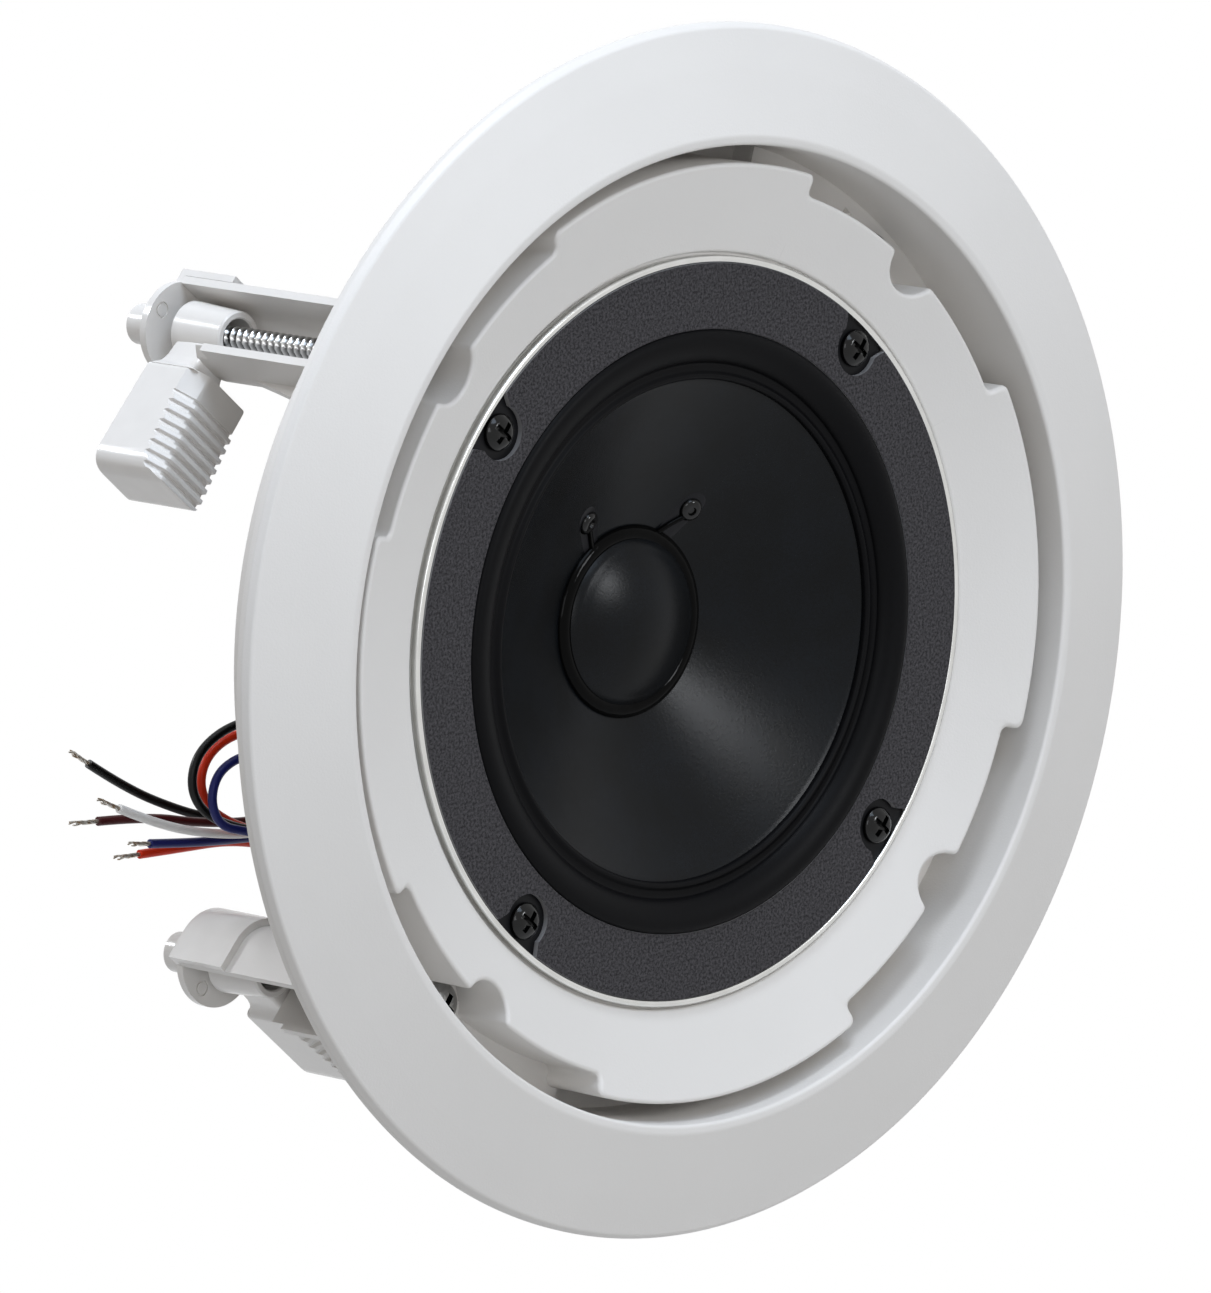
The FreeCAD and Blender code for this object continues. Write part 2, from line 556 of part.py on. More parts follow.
def surround():
    """Half-roll surround: lip under the gasket, roll, and the land that carries the cone."""
    lip_out = GASKET_R_IN + SURROUND_LIP - SCREW_GAP
    roll_in = GASKET_R_IN - ROLL_WIDTH
    mid = GASKET_R_IN - ROLL_WIDTH / 2
    front, land = DECK_Y - SURROUND, CONE_EDGE_Y - SURROUND
    return turned((lip_out, front), (GASKET_R_IN, front),
                  ((mid, front - ROLL_RISE), (roll_in, land)),
                  (CONE_EDGE_R, land), (CONE_EDGE_R, CONE_EDGE_Y), (roll_in + SURROUND, CONE_EDGE_Y),
                  ((mid, DECK_Y - ROLL_RISE), (GASKET_R_IN - SURROUND, DECK_Y)), (lip_out, DECK_Y))


def cone_front(r):
    """Y of the cone's front face: a straight flank with a slight belly."""
    share = (CONE_EDGE_R - r) / (CONE_EDGE_R - FORMER_OUT)
    return CONE_EDGE_Y + CONE_DEPTH * share + CONE_BOW * 4 * share * (1 - share)


def cone():
    """Paper cone, glued under the surround's land and round the voice coil former."""
    middle = (CONE_EDGE_R + FORMER_OUT) / 2
    rim = CONE_EDGE_R + CONE_RIM_WIDTH
    back = CONE_PAPER
    return turned((rim, CONE_EDGE_Y), (CONE_EDGE_R, CONE_EDGE_Y),
                  ((middle, cone_front(middle)), (FORMER_OUT, cone_front(FORMER_OUT))),
                  (FORMER_OUT, cone_front(FORMER_OUT) + back),
                  ((middle, cone_front(middle) + back), (CONE_EDGE_R, CONE_EDGE_Y + back)),
                  (rim, CONE_EDGE_Y + back))


def dust_cap():
    """Pressed dust cap: a low cup with a slightly domed top and a flared foot on the cone."""
    foot = cone_front(CAP_FOOT_R) - SCREW_GAP
    top = foot - CAP_HEIGHT
    inside = CAP_R - CAP_WALL
    flat, dome_r = CAP_R / 10, CAP_R / 2
    crown, bulge = top - CAP_DOME, top - CAP_DOME * 0.75
    return turned((0, crown), (flat, crown), ((dome_r, bulge), (CAP_R, top)),
                  (CAP_FOOT_R, foot), (CAP_FOOT_R - CAP_WALL, foot), (inside, top + CAP_WALL),
                  ((dome_r, bulge + CAP_WALL), (flat, crown + CAP_WALL)), (0, crown + CAP_WALL))


def eyelet(angle):
    """Glued lead eyelet on the cone's flank."""
    x, z = polar(EYELET_CIRCLE_R, angle)
    y = cone_front(EYELET_CIRCLE_R)
    slope = cone_front(EYELET_CIRCLE_R - EYELET_R) - cone_front(EYELET_CIRCLE_R + EYELET_R)
    lean = slope / (2 * EYELET_R)
    inward = vec(-x, 0, -z) * (lean / EYELET_CIRCLE_R)
    direction = (inward + vec(0, -1, 0)).normalize()
    sunk = CONE_PAPER / 2
    foot = vec(x, y, z) - direction * sunk
    button = Part.makeCylinder(EYELET_R, EYELET_HEIGHT + sunk, foot, direction)
    tip = vec(x, y, z) + direction * EYELET_HEIGHT
    top = [e for e in button.Edges if (e.CenterOfMass - tip).Length < 1e-6]
    return one_solid(button.makeFillet(EYELET_HEIGHT * 0.6, top).cut(cone()))


def spider():
    """Corrugated spider: flat lip on the basket's ledge, waves, inner edge on the former."""
    outer = SPIDER_LEDGE_R - SCREW_GAP
    lip = BASKET_FLOOR_R
    base = SPIDER_Y - SPIDER_CLOTH
    pitch = (lip - FORMER_OUT) / SPIDER_WAVES
    front, back = [], []
    for i in range(SPIDER_WAVES):
        r = lip - i * pitch
        side = -SPIDER_WAVE if i % 2 == 0 else SPIDER_WAVE
        front.append(((r - pitch / 2, base + side), (r - pitch, base)))
        back.append(((r - pitch / 2, SPIDER_Y + side), (r, SPIDER_Y)))
    steps = front + [(FORMER_OUT, SPIDER_Y)] + back[::-1]
    return turned((outer, base), (lip, base), *steps, (outer, SPIDER_Y))


def yoke():
    """Back plate and pole in one turned piece."""
    pole = rod(POLE_R, BASKET_BACK, MAGNET_BACK)
    plate = rod(BACK_PLATE_R, MAGNET_BACK, YOKE_BACK)
    cuts = []
    for side in (-1, 1):
        cuts.append(rod(STRAP_SCREW_R + SCREW_GAP, MAGNET_BACK, YOKE_BACK, side * ear_screw_x()))
    return one_solid(pole.fuse(plate).cut(cuts))


def ear_screw_x():
    return CORE_LENGTH / 2 + STRAP + EAR_LENGTH - EAR_SCREW_INSET


def strip_top():
    return BASKET_FLOOR_R + SHEET + STRIP_SETBACK


def terminal_strip():
    y = SPIDER_Y + SHEET
    strip = block(-STRIP_WIDTH / 2, STRIP_WIDTH / 2, y, y + STRIP, strip_top(),
                  strip_top() + STRIP_LENGTH)
    return strip.cut(rod(RIVET_R + SCREW_GAP, y, y + STRIP, 0, strip_top() + STRIP_LENGTH / 3))


def terminal_rivet():
    z = strip_top() + STRIP_LENGTH / 3
    back = SPIDER_Y + SHEET + STRIP
    shank = rod(RIVET_R, SPIDER_Y, back, 0, z)
    return one_solid(shank.fuse(rod(RIVET_HEAD_R, back, back + RIVET_HEAD, 0, z)))


def solder_lug(x):
    y = SPIDER_Y + SHEET + STRIP
    z = strip_top() + STRIP_LENGTH - LUG_LENGTH / 2
    lug = block(x - LUG_WIDTH / 2, x + LUG_WIDTH / 2, y, y + LUG, z, z + LUG_LENGTH)
    return lug.cut(rod(LUG_EYE_R, y, y + LUG, x, z + LUG_LENGTH - LUG_WIDTH / 2))


def core():
    """Laminated E-I core on the back plate, with its two windows."""
    half, stack = CORE_LENGTH / 2, CORE_STACK / 2
    body = block(-half, half, YOKE_BACK, YOKE_BACK + CORE_HEIGHT, -stack, stack)
    cuts = []
    for side in (-1, 1):
        x0, x1 = sorted((side * (half - CORE_LIMB), side * (half - CORE_LIMB - CORE_WINDOW)))
        cuts.append(block(x0, x1, YOKE_BACK + CORE_LIMB, YOKE_BACK + CORE_HEIGHT - CORE_LIMB,
                          -stack, stack))
    return body.cut(cuts)


def frame_block(half_x, half_z, y0, y1):
    return block(-half_x, half_x, y0, y1, -half_z, half_z)


LIMB_HALF = CORE_LENGTH / 2 - CORE_LIMB - CORE_WINDOW
TUBE_X = LIMB_HALF + BOBBIN_GAP + BOBBIN_WALL
TUBE_Z = CORE_STACK / 2 + BOBBIN_GAP + BOBBIN_WALL
BOBBIN_X = CORE_LENGTH / 2 - CORE_LIMB - BOBBIN_GAP
BOBBIN_Z = CORE_STACK / 2 + BOBBIN_FLANGE
BOBBIN_Y0 = YOKE_BACK + CORE_LIMB + BOBBIN_GAP
BOBBIN_Y1 = YOKE_BACK + CORE_HEIGHT - CORE_LIMB - BOBBIN_GAP
WINDING_Z = BOBBIN_Z - WINDING_INSET


def bobbin():
    tube_body = frame_block(TUBE_X, TUBE_Z, BOBBIN_Y0, BOBBIN_Y1)
    front = frame_block(BOBBIN_X, BOBBIN_Z, BOBBIN_Y0, BOBBIN_Y0 + BOBBIN_WALL)
    back = frame_block(BOBBIN_X, BOBBIN_Z, BOBBIN_Y1 - BOBBIN_WALL, BOBBIN_Y1)
    hole = frame_block(TUBE_X - BOBBIN_WALL, TUBE_Z - BOBBIN_WALL, BOBBIN_Y0, BOBBIN_Y1)
    return one_solid(tube_body.fuse([front, back]).cut(hole))


def transformer_winding():
    y0, y1 = BOBBIN_Y0 + BOBBIN_WALL, BOBBIN_Y1 - BOBBIN_WALL
    body = frame_block(BOBBIN_X - WINDING_INSET, WINDING_Z, y0, y1)
    uprights = [e for e in body.Edges if e.tangentAt(0).y ** 2 > 0.99]
    return body.makeFillet(WINDING_INSET * 2, uprights).cut(frame_block(TUBE_X, TUBE_Z, y0, y1))


def bracket():
    """Steel strap over the core, with a screwed ear at each end."""
    half, foot = CORE_LENGTH / 2, YOKE_BACK
    back = YOKE_BACK + CORE_HEIGHT
    ear = half + STRAP + EAR_LENGTH
    side = outline((-ear, foot), (-half, foot), (-half, back), (half, back), (half, foot), (ear, foot),
                   (ear, foot + STRAP), (half + STRAP, foot + STRAP), (half + STRAP, back + STRAP),
                   (-half - STRAP, back + STRAP), (-half - STRAP, foot + STRAP), (-ear, foot + STRAP))
    strap = side.extrude(vec(0, 0, CORE_STACK))
    strap.translate(vec(0, 0, -CORE_STACK / 2))
    holes = [rod(STRAP_SCREW_R + SCREW_GAP, foot, foot + STRAP, s * ear_screw_x()) for s in (-1, 1)]
    return strap.cut(holes)


def strap_screw(x):
    """Screw from behind, through an ear into the back plate."""
    seat = YOKE_BACK + STRAP
    head = rod(STRAP_HEAD_R, seat, seat + STRAP_HEAD_HEIGHT, x)
    rear = [e for e in head.Edges if abs(e.CenterOfMass.y - seat - STRAP_HEAD_HEIGHT) < 1e-6]
    head = head.makeFillet(STRAP_HEAD_HEIGHT * 0.6, rear)
    screw = head.fuse(rod(STRAP_SCREW_R, seat - STRAP_SCREW_LENGTH, seat, x))
    depth = STRAP_HEAD_HEIGHT * 0.6
    return one_solid(screw.cut(cross_recess(depth, seat + STRAP_HEAD_HEIGHT - depth, x)))


def cord(name, diameter, route):
    """Round cord along straight runs with the largest even arcs; prints its radii and length."""
    points = [vec(*p) for p in route]
    edges, radii = [], []
    here = points[0]
    for before, corner, after in zip(points, points[1:], points[2:]):
        a, b = before - corner, after - corner
        reach = 0.45 * min(a.Length, b.Length)
        turn_angle = math.pi - a.getAngle(b)
        radius = reach / math.tan(turn_angle / 2)
        start = corner + vec(*a) * (reach / a.Length)
        end = corner + vec(*b) * (reach / b.Length)
        inward = (vec(*a).normalize() + vec(*b).normalize()).normalize()
        middle = corner + inward * (radius / math.cos(turn_angle / 2) - radius)
        edges.append(Part.LineSegment(here, start).toShape())
        edges.append(Part.Arc(start, middle, end).toShape())
        radii.append(round(radius, 1))
        here = end
    edges.append(Part.LineSegment(here, points[-1]).toShape())
    path = Part.Wire(edges)
    section = Part.Wire(Part.Circle(points[0], points[1] - points[0], diameter / 2).toShape())
    solid = path.makePipeShell([section], True, False)
    ideal = math.pi * diameter ** 2 / 4 * path.Length
    print(name, "length", round(path.Length, 1), "radii", radii, "volume ratio",
          round(solid.Volume / ideal, 4))
    return solid


# Lead routes in mm, from the winding's lower face to the stripped end, chosen by hand.
# Black, red and blue fold back once in a loop; brown and white go straight out.
LEADS = {
    "black": [(-8.5, 58.0, -WINDING_Z), (-8.8, 58.0, -18.0), (-13.0, 58.2, -22.3), (-21.0, 58.5, -22.0),
              (-30.5, 58.9, -17.0), (-39.3, 59.0, -13.8), (-47.1, 59.0, -14.1), (-53.1, 59.1, -17.0),
              (-55.2, 59.0, -21.7), (-53.4, 58.9, -26.3), (-47.9, 59.0, -29.9), (-41.2, 58.6, -32.2),
              (-35.0, 57.8, -33.4), (-30.0, 57.3, -34.2), (-26.0, 58.9, -34.7), (-24.4, 62.8, -35.0),
              (-26.0, 66.7, -34.9), (-30.0, 68.4, -34.4), (-35.6, 68.6, -33.4), (-42.6, 68.2, -31.1),
              (-50.3, 68.5, -28.0), (-60.0, 69.0, -22.8), (-67.2, 69.5, -17.4)],
    "red": [(-5.5, 61.0, -WINDING_Z), (-5.8, 61.0, -18.5), (-10.5, 61.2, -23.8), (-19.0, 61.4, -24.6),
            (-28.0, 61.5, -20.0), (-36.5, 61.5, -16.3), (-44.0, 61.5, -16.3), (-49.0, 61.6, -18.6),
            (-51.1, 61.5, -22.8), (-49.4, 61.4, -27.2), (-44.7, 61.3, -30.6), (-38.6, 61.0, -33.4),
            (-33.2, 60.6, -36.0), (-28.6, 60.4, -38.2), (-24.6, 62.2, -39.4), (-23.0, 66.2, -39.7),
            (-24.5, 70.4, -39.4), (-28.6, 72.1, -38.6), (-34.0, 71.6, -37.0), (-39.6, 71.1, -35.9),
            (-46.5, 71.0, -35.4), (-56.3, 71.0, -34.6)],
    "blue": [(-2.5, 57.0, -WINDING_Z), (-2.8, 57.0, -19.0), (-7.5, 57.0, -25.2), (-16.5, 56.9, -27.2),
             (-26.0, 56.7, -25.0), (-34.5, 56.5, -21.0), (-42.0, 56.4, -18.9), (-47.0, 56.5, -18.6),
             (-51.6, 56.5, -20.4), (-53.3, 56.5, -24.7), (-51.6, 56.4, -29.0), (-46.4, 56.2, -30.8),
             (-40.0, 55.8, -33.0), (-34.0, 55.6, -35.4), (-28.6, 55.8, -36.8), (-24.0, 58.0, -37.2),
             (-22.2, 62.5, -37.3), (-24.0, 67.0, -37.1), (-28.6, 69.0, -36.7), (-34.0, 69.2, -36.0),
             (-40.4, 69.0, -35.2), (-48.0, 69.0, -34.1), (-55.7, 69.0, -32.7)],
    "white": [(0.5, 63.5, -WINDING_Z), (0.2, 63.5, -19.5), (-4.5, 63.4, -27.0), (-13.5, 63.2, -31.5),
              (-25.0, 63.0, -33.0), (-37.2, 63.0, -33.9), (-48.3, 63.0, -31.8), (-58.8, 63.0, -28.2),
              (-67.0, 63.0, -23.9)],
    "brown": [(3.5, 65.5, -WINDING_Z), (3.2, 65.5, -20.0), (-2.0, 65.5, -28.0), (-11.5, 65.4, -32.0),
              (-23.5, 65.2, -32.6), (-36.9, 65.0, -32.3), (-48.5, 65.0, -30.2), (-58.6, 65.5, -27.2),
              (-69.0, 66.0, -26.0)],
}
TIP_LENGTHS = {"black": 4.3, "red": 5.2, "blue": 4.4, "white": 4.7, "brown": 5.6}


def lead_tip(route, length):
    """Stripped, tinned strands that carry straight on from the insulation."""
    end = vec(*route[-1])
    direction = end - vec(*route[-2])
    return Part.makeCylinder(TIP_D / 2, length, end, direction)


def main():
    os.makedirs("parts", exist_ok=True)
    save("bezel", bezel())
    cap, screw, arm = clamp_cap(), clamp_screw(), clamp_arm()
    for name, angle in CLAMP_NAMES.items():
        save("clamp_cap_" + name, turn(cap, angle))
        save("clamp_screw_" + name, turn(screw, angle))
        save("clamp_arm_" + name, turn(arm, angle))
    save("basket", basket())
    save("gasket", gasket())
    screws = []
    for angle in CLAMP_NAMES.values():
        x, z = polar(DRIVER_SCREW_CIRCLE_R, angle)
        screws.append(pan_screw(DRIVER_SCREW_R, DRIVER_SCREW_LENGTH, DRIVER_HEAD_R,
                                DRIVER_HEAD_HEIGHT, DECK_Y, x, z))
    save("driver_screws", *screws)
    save("surround", surround())
    save("cone", cone())
    save("dust_cap", dust_cap())
    save("lead_eyelets", *[eyelet(angle) for angle in EYELET_ANGLES])
    gap_middle = BASKET_BACK + TOP_PLATE / 2
    coil_start, coil_end = gap_middle - WINDING_LENGTH / 2, gap_middle + WINDING_LENGTH / 2
    save("coil_former", tube(FORMER_IN, FORMER_OUT, cone_front(CAP_FOOT_R), coil_end))
    save("voice_coil", tube(FORMER_OUT, WINDING_OUT, coil_start, coil_end))
    save("spider", spider())
    save("top_plate", tube(WINDING_OUT + PLATE_GAP, TOP_PLATE_R, BASKET_BACK, TOP_PLATE_BACK))
    save("magnet", tube(MAGNET_HOLE_R, MAGNET_R, TOP_PLATE_BACK, MAGNET_BACK))
    save("yoke", yoke())
    save("terminal_strip", terminal_strip())
    save("terminal_rivet", terminal_rivet())
    save("solder_lugs", solder_lug(-LUG_SPACING / 2), solder_lug(LUG_SPACING / 2))
    save("transformer_core", core())
    save("transformer_bobbin", bobbin())
    save("transformer_winding", transformer_winding())
    save("transformer_bracket", bracket())
    save("bracket_screws", strap_screw(-ear_screw_x()), strap_screw(ear_screw_x()))
    for colour, route in LEADS.items():
        save("lead_" + colour, cord("lead_" + colour, LEAD_D, route))
        save("lead_tip_" + colour, lead_tip(route, TIP_LENGTHS[colour]))


main()
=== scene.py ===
import math

import bmesh
import bpy
from mathutils import Matrix, Vector


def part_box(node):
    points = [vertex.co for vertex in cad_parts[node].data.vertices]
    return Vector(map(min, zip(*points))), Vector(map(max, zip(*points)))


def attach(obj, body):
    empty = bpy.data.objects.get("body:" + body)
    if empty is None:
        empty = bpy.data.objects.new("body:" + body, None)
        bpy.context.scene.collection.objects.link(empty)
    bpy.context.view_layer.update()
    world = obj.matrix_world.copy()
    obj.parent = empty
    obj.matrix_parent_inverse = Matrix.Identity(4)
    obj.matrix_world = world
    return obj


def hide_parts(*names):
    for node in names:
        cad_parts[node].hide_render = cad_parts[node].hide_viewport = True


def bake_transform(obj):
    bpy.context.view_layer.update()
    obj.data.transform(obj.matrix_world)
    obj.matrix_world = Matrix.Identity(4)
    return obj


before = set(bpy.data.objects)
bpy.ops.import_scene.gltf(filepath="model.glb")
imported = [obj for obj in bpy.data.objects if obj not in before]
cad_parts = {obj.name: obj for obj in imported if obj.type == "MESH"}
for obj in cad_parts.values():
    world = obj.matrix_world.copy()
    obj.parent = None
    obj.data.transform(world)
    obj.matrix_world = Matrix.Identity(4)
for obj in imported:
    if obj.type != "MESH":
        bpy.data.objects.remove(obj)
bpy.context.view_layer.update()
scene = bpy.context.scene
scene.view_settings.view_transform = "Standard"

# Camera
# A long lens about two metres away, left of the loudspeaker's axis and a little above it.
# The frame is taken to be 1211 by 1293, with the height along the sensor.
camera_data = bpy.data.cameras.new("camera")
camera_data.sensor_fit = "VERTICAL"
camera_data.sensor_height = 36.0
camera_data.lens = 358.2
camera = bpy.data.objects.new("camera", camera_data)
scene.collection.objects.link(camera)
scene.camera = camera
CAMERA_AT = (-1.3744, -1.4417, 0.4321)
RIGHT, UP, BACKWARD = (0.7200, -0.6921, -0.0501), (0.1829, 0.1197, 0.9757), (-0.6694, -0.7117, 0.2127)
camera.matrix_world = Matrix.Translation(CAMERA_AT) @ Matrix((RIGHT, UP, BACKWARD)).transposed().to_4x4()


# Floor and studio light
# A pale floor well below the part, which fades into a white surround, and five soft boxes: a small
# one ahead, two cool ones above the front and over the top, and weak ones at the left and behind.
def linear(colour):
    """sRGB hex colour as linear RGBA."""
    shares = [int(colour[i:i + 2], 16) / 255 for i in (1, 3, 5)]
    return tuple(s / 12.92 if s <= 0.04045 else ((s + 0.055) / 1.055) ** 2.4 for s in shares) + (1.0,)


def add_node(tree, kind, sockets=None, stops=(), **settings):
    """Adds a node. A socket takes a plain value, an output, or a node, which gives its first live output.
    Stops are a ramp's (position, colour) pairs."""
    node = tree.nodes.new("ShaderNode" + kind)
    for name, value in settings.items():
        setattr(node, name, value)
    for i, (position, colour) in enumerate(stops):
        node.color_ramp.elements[i].position = position
        node.color_ramp.elements[i].color = linear(colour)
    for name, value in (sockets or {}).items():
        if isinstance(value, bpy.types.Node):
            value = next(output for output in value.outputs if output.enabled)
        if isinstance(value, bpy.types.NodeSocket):
            tree.links.new(value, node.inputs[name])
        else:
            node.inputs[name].default_value = value
    return node


def new_finish(name, source="TexCoord", output="Object"):
    """Empty material, its node tree, and the output that its pattern follows, by default the place."""
    material = bpy.data.materials.new(name)
    material.use_nodes = True
    tree = material.node_tree
    tree.nodes.clear()
    return material, tree, add_node(tree, source).outputs[output]


def sees_background(tree):
    """1 for rays that show the white background: direct, mirrored or through something clear."""
    rays = add_node(tree, "LightPath").outputs
    direct = add_node(tree, "Math", {0: rays["Is Camera Ray"], 1: rays["Is Glossy Ray"]}, operation="MAXIMUM")
    return add_node(tree, "Math", {0: direct, 1: rays["Is Transmission Ray"]}, operation="MAXIMUM")


WORLD_FILL = 0.17
world = bpy.data.worlds.new("studio")
scene.world = world
world.use_nodes = True
tree = world.node_tree
tree.nodes.clear()
white = add_node(tree, "Background", {"Color": linear("#FFFFFF"), "Strength": 1.0})
dim = add_node(tree, "Background", {"Color": linear("#FFF5EC"), "Strength": WORLD_FILL})
sky = add_node(tree, "MixShader", {0: sees_background(tree), 1: dim, 2: white})
add_node(tree, "OutputWorld", {"Surface": sky})

# White paper floor: matt, with the part's shadow on it, and pure white from a metre away.
FLOOR_Z, FLOOR_HALF, SHADOW_NEAR, SHADOW_FAR = -0.40, 6.0, 0.45, 1.0
floor_finish, tree, spot = new_finish("white_paper_floor")
flat = add_node(tree, "VectorMath", {0: spot, 1: (1.0, 1.0, 0.0)}, operation="MULTIPLY")
reach = add_node(tree, "VectorMath", {0: flat}, operation="LENGTH")
fade = add_node(tree, "MapRange", {"Value": reach, "From Min": SHADOW_NEAR, "From Max": SHADOW_FAR})
paper = add_node(tree, "BsdfDiffuse", {"Color": linear("#BEBDBB")})
lift = add_node(tree, "Emission", {"Color": linear("#FFFFFF"), "Strength": 0.6})
glow = add_node(tree, "Emission", {"Color": linear("#FFFFFF"), "Strength": 1.0})
near = add_node(tree, "AddShader", {0: paper, 1: lift})
shown = add_node(tree, "MixShader", {0: fade, 1: near, 2: glow})
sheet = add_node(tree, "MixShader", {0: sees_background(tree), 1: paper, 2: shown})
add_node(tree, "OutputMaterial", {"Surface": sheet})
floor_mesh = bpy.data.meshes.new("floor")
floor_corners = ((-1, -1), (1, -1), (1, 1), (-1, 1))
floor_mesh.from_pydata([(x * FLOOR_HALF, y * FLOOR_HALF, FLOOR_Z) for x, y in floor_corners], [],
                       [(0, 1, 2, 3)])
floor_mesh.materials.append(floor_finish)
floor = bpy.data.objects.new("floor", floor_mesh)
scene.collection.objects.link(floor)

for name, stand, size, watts, colour in (("key_box", (0.45, -1.70, 0.56), 0.4, 9.8, "#F8FBFF"),
                                         ("front_box", (-0.15, -0.95, 1.20), 0.6, 5.2, "#D6E9FF"),
                                         ("top_box", (-0.2, -0.15, 1.6), 0.8, 18.5, "#EAF3FF"),
                                         ("left_box", (-1.15, -1.25, 0.5), 0.6, 3.8, "#F8FBFF"),
                                         ("back_box", (-0.8, 1.3, 0.95), 0.25, 8.0, "#F8FBFF")):
    lamp_data = bpy.data.lights.new(name, "AREA")
    lamp_data.size = size
    lamp_data.energy = watts
    lamp_data.color = linear(colour)[:3]
    lamp = bpy.data.objects.new(name, lamp_data)
    scene.collection.objects.link(lamp)
    lamp.location = stand
    lamp.rotation_euler = (-Vector(stand)).to_track_quat("-Z", "Y").to_euler()

# Leads
# Five thin PVC-covered stranded wires from the transformer's primary. They leave the winding's lower
# face, three fold back once in a loop, and each ends in a few millimetres of bare tinned strands.
MM = 0.001
LEAD_D, STRAND_D = 1.5, 0.26
LEAD_ROUTES = {
    "black": [(-8.5, 58.0, -12.9), (-8.8, 58.0, -18.0), (-13.0, 58.2, -22.3), (-21.0, 58.5, -22.0),
              (-30.5, 58.9, -17.0), (-39.3, 59.0, -13.8), (-47.1, 59.0, -14.1), (-53.1, 59.1, -17.0),
              (-55.2, 59.0, -21.7), (-53.4, 58.9, -26.3), (-47.9, 59.0, -29.9), (-41.2, 58.6, -32.2),
              (-35.0, 57.8, -33.4), (-30.0, 57.3, -34.2), (-26.0, 58.9, -34.7), (-24.4, 62.8, -35.0),
              (-26.0, 66.7, -34.9), (-30.0, 68.4, -34.4), (-35.6, 68.6, -33.4), (-42.6, 68.2, -31.1),
              (-50.3, 68.5, -28.0), (-60.0, 69.0, -22.8), (-67.2, 69.5, -17.4)],
    "red": [(-5.5, 61.0, -12.9), (-5.8, 61.0, -18.5), (-10.5, 61.2, -23.8), (-19.0, 61.4, -24.6),
            (-28.0, 61.5, -20.0), (-36.5, 61.5, -16.3), (-44.0, 61.5, -16.3), (-49.0, 61.6, -18.6),
            (-51.1, 61.5, -22.8), (-49.4, 61.4, -27.2), (-44.7, 61.3, -30.6), (-38.6, 61.0, -33.4),
            (-33.2, 60.6, -36.0), (-28.6, 60.4, -38.2), (-24.6, 62.2, -39.4), (-23.0, 66.2, -39.7),
            (-24.5, 70.4, -39.4), (-28.6, 72.1, -38.6), (-34.0, 71.6, -37.0), (-39.6, 71.1, -35.9),
            (-46.5, 71.0, -35.4), (-56.3, 71.0, -34.6)],
    "blue": [(-2.5, 57.0, -12.9), (-2.8, 57.0, -19.0), (-7.5, 57.0, -25.2), (-16.5, 56.9, -27.2),
             (-26.0, 56.7, -25.0), (-34.5, 56.5, -21.0), (-42.0, 56.4, -18.9), (-47.0, 56.5, -18.6),
             (-51.6, 56.5, -20.4), (-53.3, 56.5, -24.7), (-51.6, 56.4, -29.0), (-46.4, 56.2, -30.8),
             (-40.0, 55.8, -33.0), (-34.0, 55.6, -35.4), (-28.6, 55.8, -36.8), (-24.0, 58.0, -37.2),
             (-22.2, 62.5, -37.3), (-24.0, 67.0, -37.1), (-28.6, 69.0, -36.7), (-34.0, 69.2, -36.0),
             (-40.4, 69.0, -35.2), (-48.0, 69.0, -34.1), (-55.7, 69.0, -32.7)],
    "white": [(0.5, 63.5, -12.9), (0.2, 63.5, -19.5), (-4.5, 63.4, -27.0), (-13.5, 63.2, -31.5),
              (-25.0, 63.0, -33.0), (-37.2, 63.0, -33.9), (-48.3, 63.0, -31.8), (-58.8, 63.0, -28.2),
              (-67.0, 63.0, -23.9)],
    "brown": [(3.5, 65.5, -12.9), (3.2, 65.5, -20.0), (-2.0, 65.5, -28.0), (-11.5, 65.4, -32.0),
              (-23.5, 65.2, -32.6), (-36.9, 65.0, -32.3), (-48.5, 65.0, -30.2), (-58.6, 65.5, -27.2),
              (-69.0, 66.0, -26.0)],
}
LEAD_COLOURS = {"black": "#060606", "red": "#DE3414", "blue": "#1E2468", "white": "#F2F1EF",
                "brown": "#451618"}
TIP_LENGTHS = {"black": 4.3, "red": 5.2, "blue": 4.4, "white": 4.7, "brown": 5.6}
STRANDS, TWIST, LAY_R, SPLAY, TUCK, UNEVEN = 7, 0.8, 0.245, 0.10, 0.4, 0.07


def loft(shape, rings, closed=True):
    """Skins rings of points (metres); a ring of one point is a pole."""
    made = [[shape.verts.new(p) for p in ring] for ring in rings]
    pairs = list(zip(made, made[1:])) + ([(made[-1], made[0])] if closed else [])
    for near, far in pairs:
        count = max(len(near), len(far))
        for k in range(count):
            n = (k + 1) % count
            corners = [near[k % len(near)], near[n % len(near)], far[n % len(far)], far[k % len(far)]]
            corners = [c for i, c in enumerate(corners) if c not in corners[:i]]
            if len(corners) > 2:
                shape.faces.new(corners)


def capped(rings):
    """New bmesh: rings of points skinned in order, with a flat face at each end."""
    shape = bmesh.new()
    loft(shape, rings, closed=False)
    bmesh.ops.holes_fill(shape, edges=[edge for edge in shape.edges if edge.is_boundary])
    bmesh.ops.recalc_face_normals(shape, faces=shape.faces)
    return shape


def tube(points, radius, sides=8):
    """New bmesh: closed round tube along points (metres)."""
    rings = []
    for i, point in enumerate(points):
        ahead = (points[min(i + 1, len(points) - 1)] - points[max(i - 1, 0)]).normalized()
        across = ahead.cross(Vector((0.31, 0.83, 0.46))).normalized()
        over = ahead.cross(across)
        rings.append([point + radius * (math.cos(t) * across + math.sin(t) * over)
                      for t in (math.tau * k / sides for k in range(sides))])
    return capped(rings)


